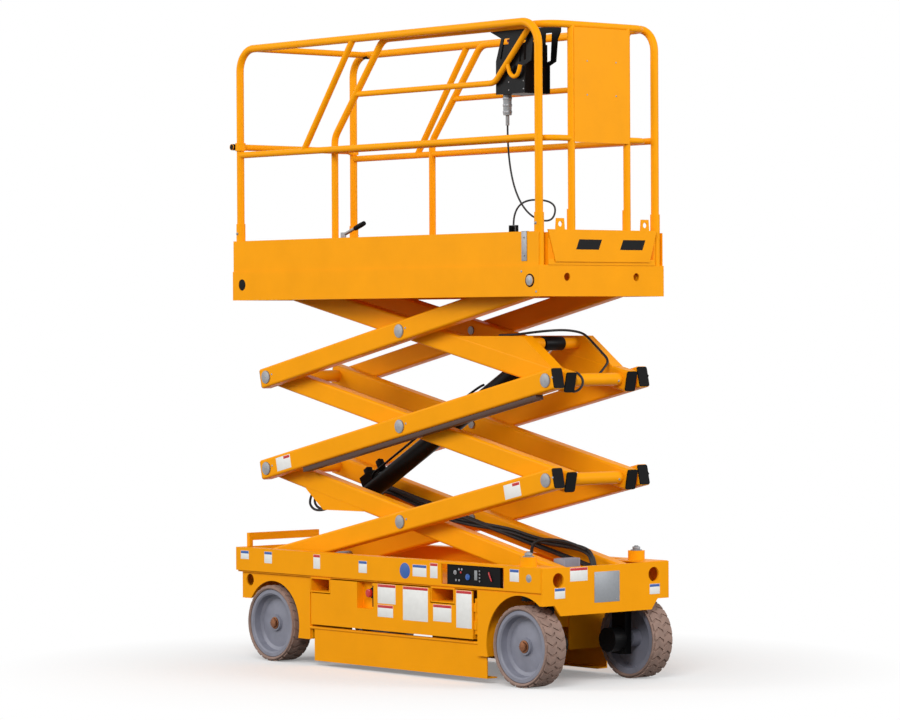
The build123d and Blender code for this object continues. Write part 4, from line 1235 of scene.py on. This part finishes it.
class LIFT_OT_arm_decals(bpy.types.Operator):
    """Lay the blank decals on the outer arms, in line with the arms"""

    bl_idname = "lift.arm_decals"
    bl_label = "Arm decals"

    def execute(self, context):
        turn = Matrix.Rotation(-arm_lean, 4, "Y")
        thick = sizes().decal_thickness / mm
        edge = thick * decal_edge
        half, tall = arm_sheet
        for body, x, z in arm_decals:
            place = (x, -arm_face, z)
            sheet = block((-half, -thick, -tall), (half, 0, tall), edge)
            low = (arm_band_low[0], -thick * band_rise, arm_band_low[1])
            band = block(low, (arm_band_high[0], 0, arm_band_high[1]), edge)
            done(copy_to(sheet, place, turn), body + "_decal", "white", body)
            done(copy_to(band, place, turn), body + "_decal_band", "red", body)
            bpy.data.objects.remove(sheet)
            bpy.data.objects.remove(band)
        return {"FINISHED"}


# Platform trim, in millimetres
platform_wall = 400.0
pivot_top = lowest_pins + 3 * stage_rise
pivot_seal = (31, 1.5, 0.5, 48)
pivot_disc = (23, 1, 0.4, 48)
pivot_boss = (12, 1.2, 0.3, 32)
pivot_disc_out = 3.6
wall_screws = ((-58, 42), (43, -52))
wall_screw_radius = 6.0
rear_plug_place = (-1097.25, 395.0, 1889.84)
rear_plug = (28.5, 3, 0.6, 48)

# Strap over the right toe board, and slanted marks on the front one, in millimetres
strap_low = (1021.0, -400.0, 1976.0)
strap_high = (1057.0, -397.0, 2112.0)
strap_hook_low = (1021.0, -400.0, 2110.0)
strap_hook_high = (1057.0, -383.0, 2114.0)
strap_edge = 0.8
strap_bolts = (2000, 2085)
strap_bolt_radius = 4.0
mark_edges = ((-172, -28), (108, 252))
mark_low = 2029.0
mark_high = 2076.0
mark_slant = 20.0

# Bolts of the rail sockets, caps of the gate bar, rivets of the front panel, rail clamp, in millimetres
socket_bolts = [(x, 393.0, 2150.0) for x in (-1143.25, 1110.75)]
socket_bolt_radius = 5.5
gate_axis = (-1173.25, 2590.1)
gate_cap_depth = 22.0
gate_cap = (16.2, 22.5, 3, 36)
panel_rivets = [(y, z) for y in (-93, 91) for z in (2748, 2905)]
panel_rivet_radius = 4.0
clamp_low = (-1040.0, 352.0, 3062.0)
clamp_high = (-1008.0, 388.0, 3081.0)
clamp_edge = 3.0
clamp_screw_place = (-1024.0, 352.0, 3066.0)
clamp_screw = (5, 12, 1, 6)


class LIFT_OT_platform_trim(bpy.types.Operator):
    """Fit the seals, screws, strap, marks, caps and clamp of the platform and its extension"""

    bl_idname = "lift.platform_trim"
    bl_label = "Platform trim"

    def execute(self, context):
        self.pivots()
        self.strap()
        self.marks()
        spots = [((x, sign * y, z), (0, sign, 0)) for sign in signs for x, y, z in socket_bolts]
        scatter(hex_bolt(socket_bolt_radius), spots, "post_socket_bolts", "zinc", "platform")
        caps = []
        for sign, corner in zip(signs, box("gate_bar")):
            start = (gate_axis[0], corner[1] - sign * gate_cap_depth, gate_axis[1])
            caps.append(drum(start, (0, sign, 0), *gate_cap))
        done(join(caps), "gate_bar_caps", "black_plastic", "gate_bar")
        face = box("front_panel")[1][0]
        spots = [((face, y, z), ahead) for y, z in panel_rivets]
        scatter(rivet(panel_rivet_radius), spots, "front_panel_rivets", "zinc", "extension")
        clamp = [block(clamp_low, clamp_high, clamp_edge), drum(clamp_screw_place, right, *clamp_screw)]
        done(join(clamp), "rear_rail_clamp", "black_plastic", "platform")
        return {"FINISHED"}

    def pivots(self):
        """Seals, discs and screws at the front pivots, and plugs in the rear holes"""
        seals = []
        discs = []
        screws = []
        plugs = []
        for sign in signs:
            out = (0, sign, 0)
            seals.append(((pin_front, sign * platform_wall, pivot_top), out))
            discs.append(((pin_front, sign * (platform_wall + pivot_disc_out), pivot_top), out))
            for dx, dz in wall_screws:
                screws.append(((pin_front + dx, sign * platform_wall, pivot_top + dz), out))
            x, y, z = rear_plug_place
            plugs.append(((x, sign * y, z), out))
        scatter(drum(foot, up, *pivot_seal), seals, "platform_pivot_seals", "black_plastic", "platform")
        disc = join([drum(foot, up, *pivot_disc), drum(foot, up, *pivot_boss)])
        scatter(disc, discs, "platform_pivot_discs", "zinc", "platform")
        scatter(rivet(wall_screw_radius), screws, "platform_wall_screws", "zinc", "platform")
        scatter(drum(foot, up, *rear_plug), plugs, "platform_rear_plugs", "black_plastic", "platform")

    def strap(self):
        """Zinc strap over the right toe board, and its bolts"""
        strap = block(strap_low, strap_high, strap_edge)
        hook = block(strap_hook_low, strap_hook_high, strap_edge)
        done(join([strap, hook]), "toe_board_strap", "zinc", "platform")
        middle = (strap_low[0] + strap_high[0]) / 2
        spots = [((middle, strap_low[1], z), right) for z in strap_bolts]
        scatter(hex_bolt(strap_bolt_radius), spots, "strap_bolts", "zinc", "platform")

    def marks(self):
        """Two slanted black marks on the front toe board"""
        face = box("extension_toe_board")[1][0]
        front = face + sizes().decal_thickness / mm
        marks = []
        for start, end in mark_edges:
            mark = block((face, start, mark_low), (front, end, mark_high), 0)
            select_where(mark.data, "VERT", lambda point: point.co.z > (mark_low + mark_high) / 2 * mm)
            bpy.ops.transform.translate(value=(0, mark_slant * mm, 0))
            bpy.ops.object.mode_set(mode="OBJECT")
            marks.append(mark)
        done(join(marks), "toe_board_marks", "black_enamel", "extension")


# Platform controls, in millimetres: the top of the box, its face plate, and places on it from its middle
box_top = (840.0, -219.0, 2990.1)
face_half = (80.0, 72.0)
face_thickness = 4.0
face_edge = 1.5
stick_step = 40.0
stick = (9, 62, 4, 28)
boot_rings = [(5 * ring, (26 - 5 * ring, 5.5, 1.5, 36)) for ring in range(4)]
box_stop_step = (-45.0, -38.0)
box_stop_stem = (12, 12, 1, 28)
box_stop_cap = (19, 14, 4, 36)
box_stop_cap_rise = 11.0
switch_steps = [(x, y) for y in (10, 38) for x in (-56, -34, -12)]
switch = (7.5, 5, 1, 24)

# Cable fittings, in millimetres: heights of the plug's rings, and the gland's shell from the cable's end
plug_rings = (56, 88, 120)
plug_ring = (22, 13, 2, 40)
shell_low = (-23.6, -10.0, -46.0)
shell_high = (23.6, 10.6, 0.6)
shell_edge = 2.0

# Hook, screws and lock lever, in millimetres
hook_plane = -316.0
hook_line = ((836, 2906), (842, 2880), (855, 2850), (885, 2834), (914, 2850), (925, 2890))
hook_radius = 10.0
hook_bolt = (866.0, 2880.0)
hook_bolt_radius = 11.0
box_screws = ((825.5, 2816), (825.5, 2778.4), (928, 2817), (928, 2779.5))
box_screw_radius = 3.6
lever_start = Vector((-363.0, -328.0, 2128.2))
lever_end = Vector((-208.0, -328.0, 2182.2))
grip_back = 78.0
grip = (11.5, 80, 4, 32)
rib_backs = (70, 58, 46, 34, 22)
rib = (12.6, 4, 1.2, 32)


class LIFT_OT_control_box(bpy.types.Operator):
    """Fit the joystick, buttons, hook and cable fittings of the platform controls, and the lever's grip"""

    bl_idname = "lift.control_box"
    bl_label = "Platform controls"

    def execute(self, context):
        x, y, top = box_top
        deck = top + face_thickness
        low = (x - face_half[0], y - face_half[1], top)
        high = (x + face_half[0], y + face_half[1], deck)
        done(block(low, high, face_edge), "control_face", "black_plastic", "extension")
        joystick = [drum((x + stick_step, y, deck), up, *stick)]
        for rise, ring in boot_rings:
            joystick.append(drum((x + stick_step, y, deck + rise), up, *ring))
        done(join(joystick), "joystick", "black_plastic", "extension")
        stop_x = x + box_stop_step[0]
        stop_y = y + box_stop_step[1]
        stem = drum((stop_x, stop_y, deck), up, *box_stop_stem)
        cap = drum((stop_x, stop_y, deck + box_stop_cap_rise), up, *box_stop_cap)
        done(join([stem, cap]), "platform_stop_button", "red", "extension")
        switches = [drum((x + dx, y + dy, deck), up, *switch) for dx, dy in switch_steps]
        done(join(switches), "platform_switches", "grey", "extension")
        self.cable_fittings()
        self.hook()
        self.lever()
        return {"FINISHED"}

    def cable_fittings(self):
        """Metal rings of the cable's plug, and the black shell of its gland"""
        x, y, start = cable_route[0]
        spots = [((x, y, start + step), up) for step in plug_rings]
        scatter(drum(foot, up, *plug_ring), spots, "plug_rings", "zinc", "extension")
        low, high = ([a + b for a, b in zip(cable_route[-1], step)] for step in (shell_low, shell_high))
        done(block(low, high, shell_edge), "gland_shell", "black_plastic", "extension")

    def hook(self):
        """Orange hook on the rail that the control box hangs from, its bolt, and the side plate's screws"""
        hook = tube([(x, hook_plane, z) for x, z in hook_line], hook_radius)
        done(hook, "control_box_hook", "paint", "extension")
        face = box("control_box")[0][1]
        spots = [((hook_bolt[0], face, hook_bolt[1]), right)]
        scatter(hex_bolt(hook_bolt_radius), spots, "control_box_hook_bolt", "black_plastic", "extension")
        spots = [((x, face, z), right) for x, z in box_screws]
        scatter(rivet(box_screw_radius), spots, "control_box_screws", "zinc", "extension")

    def lever(self):
        """Black ribbed grip on the extension's lock lever"""
        run = (lever_end - lever_start).normalized()
        ribbed = [drum(lever_end - run * grip_back, run, *grip)]
        ribbed += [drum(lever_end - run * back, run, *rib) for back in rib_backs]
        done(join(ribbed), "lock_lever_grip", "black_plastic", "extension")


# Steps in the order of making, and their panel
steps = (
    LIFT_OT_stage,
    LIFT_OT_finishes,
    LIFT_OT_cable,
    LIFT_OT_tyres,
    LIFT_OT_hubs,
    LIFT_OT_chassis_trim,
    LIFT_OT_ground_controls,
    LIFT_OT_decals,
    LIFT_OT_arm_trim,
    LIFT_OT_arm_decals,
    LIFT_OT_platform_trim,
    LIFT_OT_control_box,
)
groups = (("lift_sizes", LiftSizes), ("lift_colours", LiftColours), ("lift_view", LiftView))


class LIFT_PT_panel(bpy.types.Panel):
    """Steps that dress the scissor lift"""

    bl_idname = "LIFT_PT_panel"
    bl_label = "Scissor Lift"
    bl_space_type = "VIEW_3D"
    bl_region_type = "UI"
    bl_category = "Scissor Lift"

    def draw(self, context):
        for step in steps:
            self.layout.operator(step.bl_idname)
        for name, group in groups:
            for key in group.__annotations__:
                self.layout.prop(getattr(context.scene, name), key)


def register():
    for name, group in groups:
        bpy.utils.register_class(group)
        setattr(bpy.types.Scene, name, bpy.props.PointerProperty(type=group))
    for step in steps:
        bpy.utils.register_class(step)
    bpy.utils.register_class(LIFT_PT_panel)


def unregister():
    bpy.utils.unregister_class(LIFT_PT_panel)
    for step in reversed(steps):
        bpy.utils.unregister_class(step)
    for name, group in reversed(groups):
        delattr(bpy.types.Scene, name)
        bpy.utils.unregister_class(group)


def main():
    register()
    bpy.ops.lift.stage()
    bpy.ops.lift.finishes()
    bpy.ops.lift.cable()
    bpy.ops.lift.tyres()
    bpy.ops.lift.hubs()
    bpy.ops.lift.chassis_trim()
    bpy.ops.lift.ground_controls()
    bpy.ops.lift.decals()
    bpy.ops.lift.arm_trim()
    bpy.ops.lift.arm_decals()
    bpy.ops.lift.platform_trim()
    bpy.ops.lift.control_box()
    deselect()


if __name__ == "__main__":
    main()
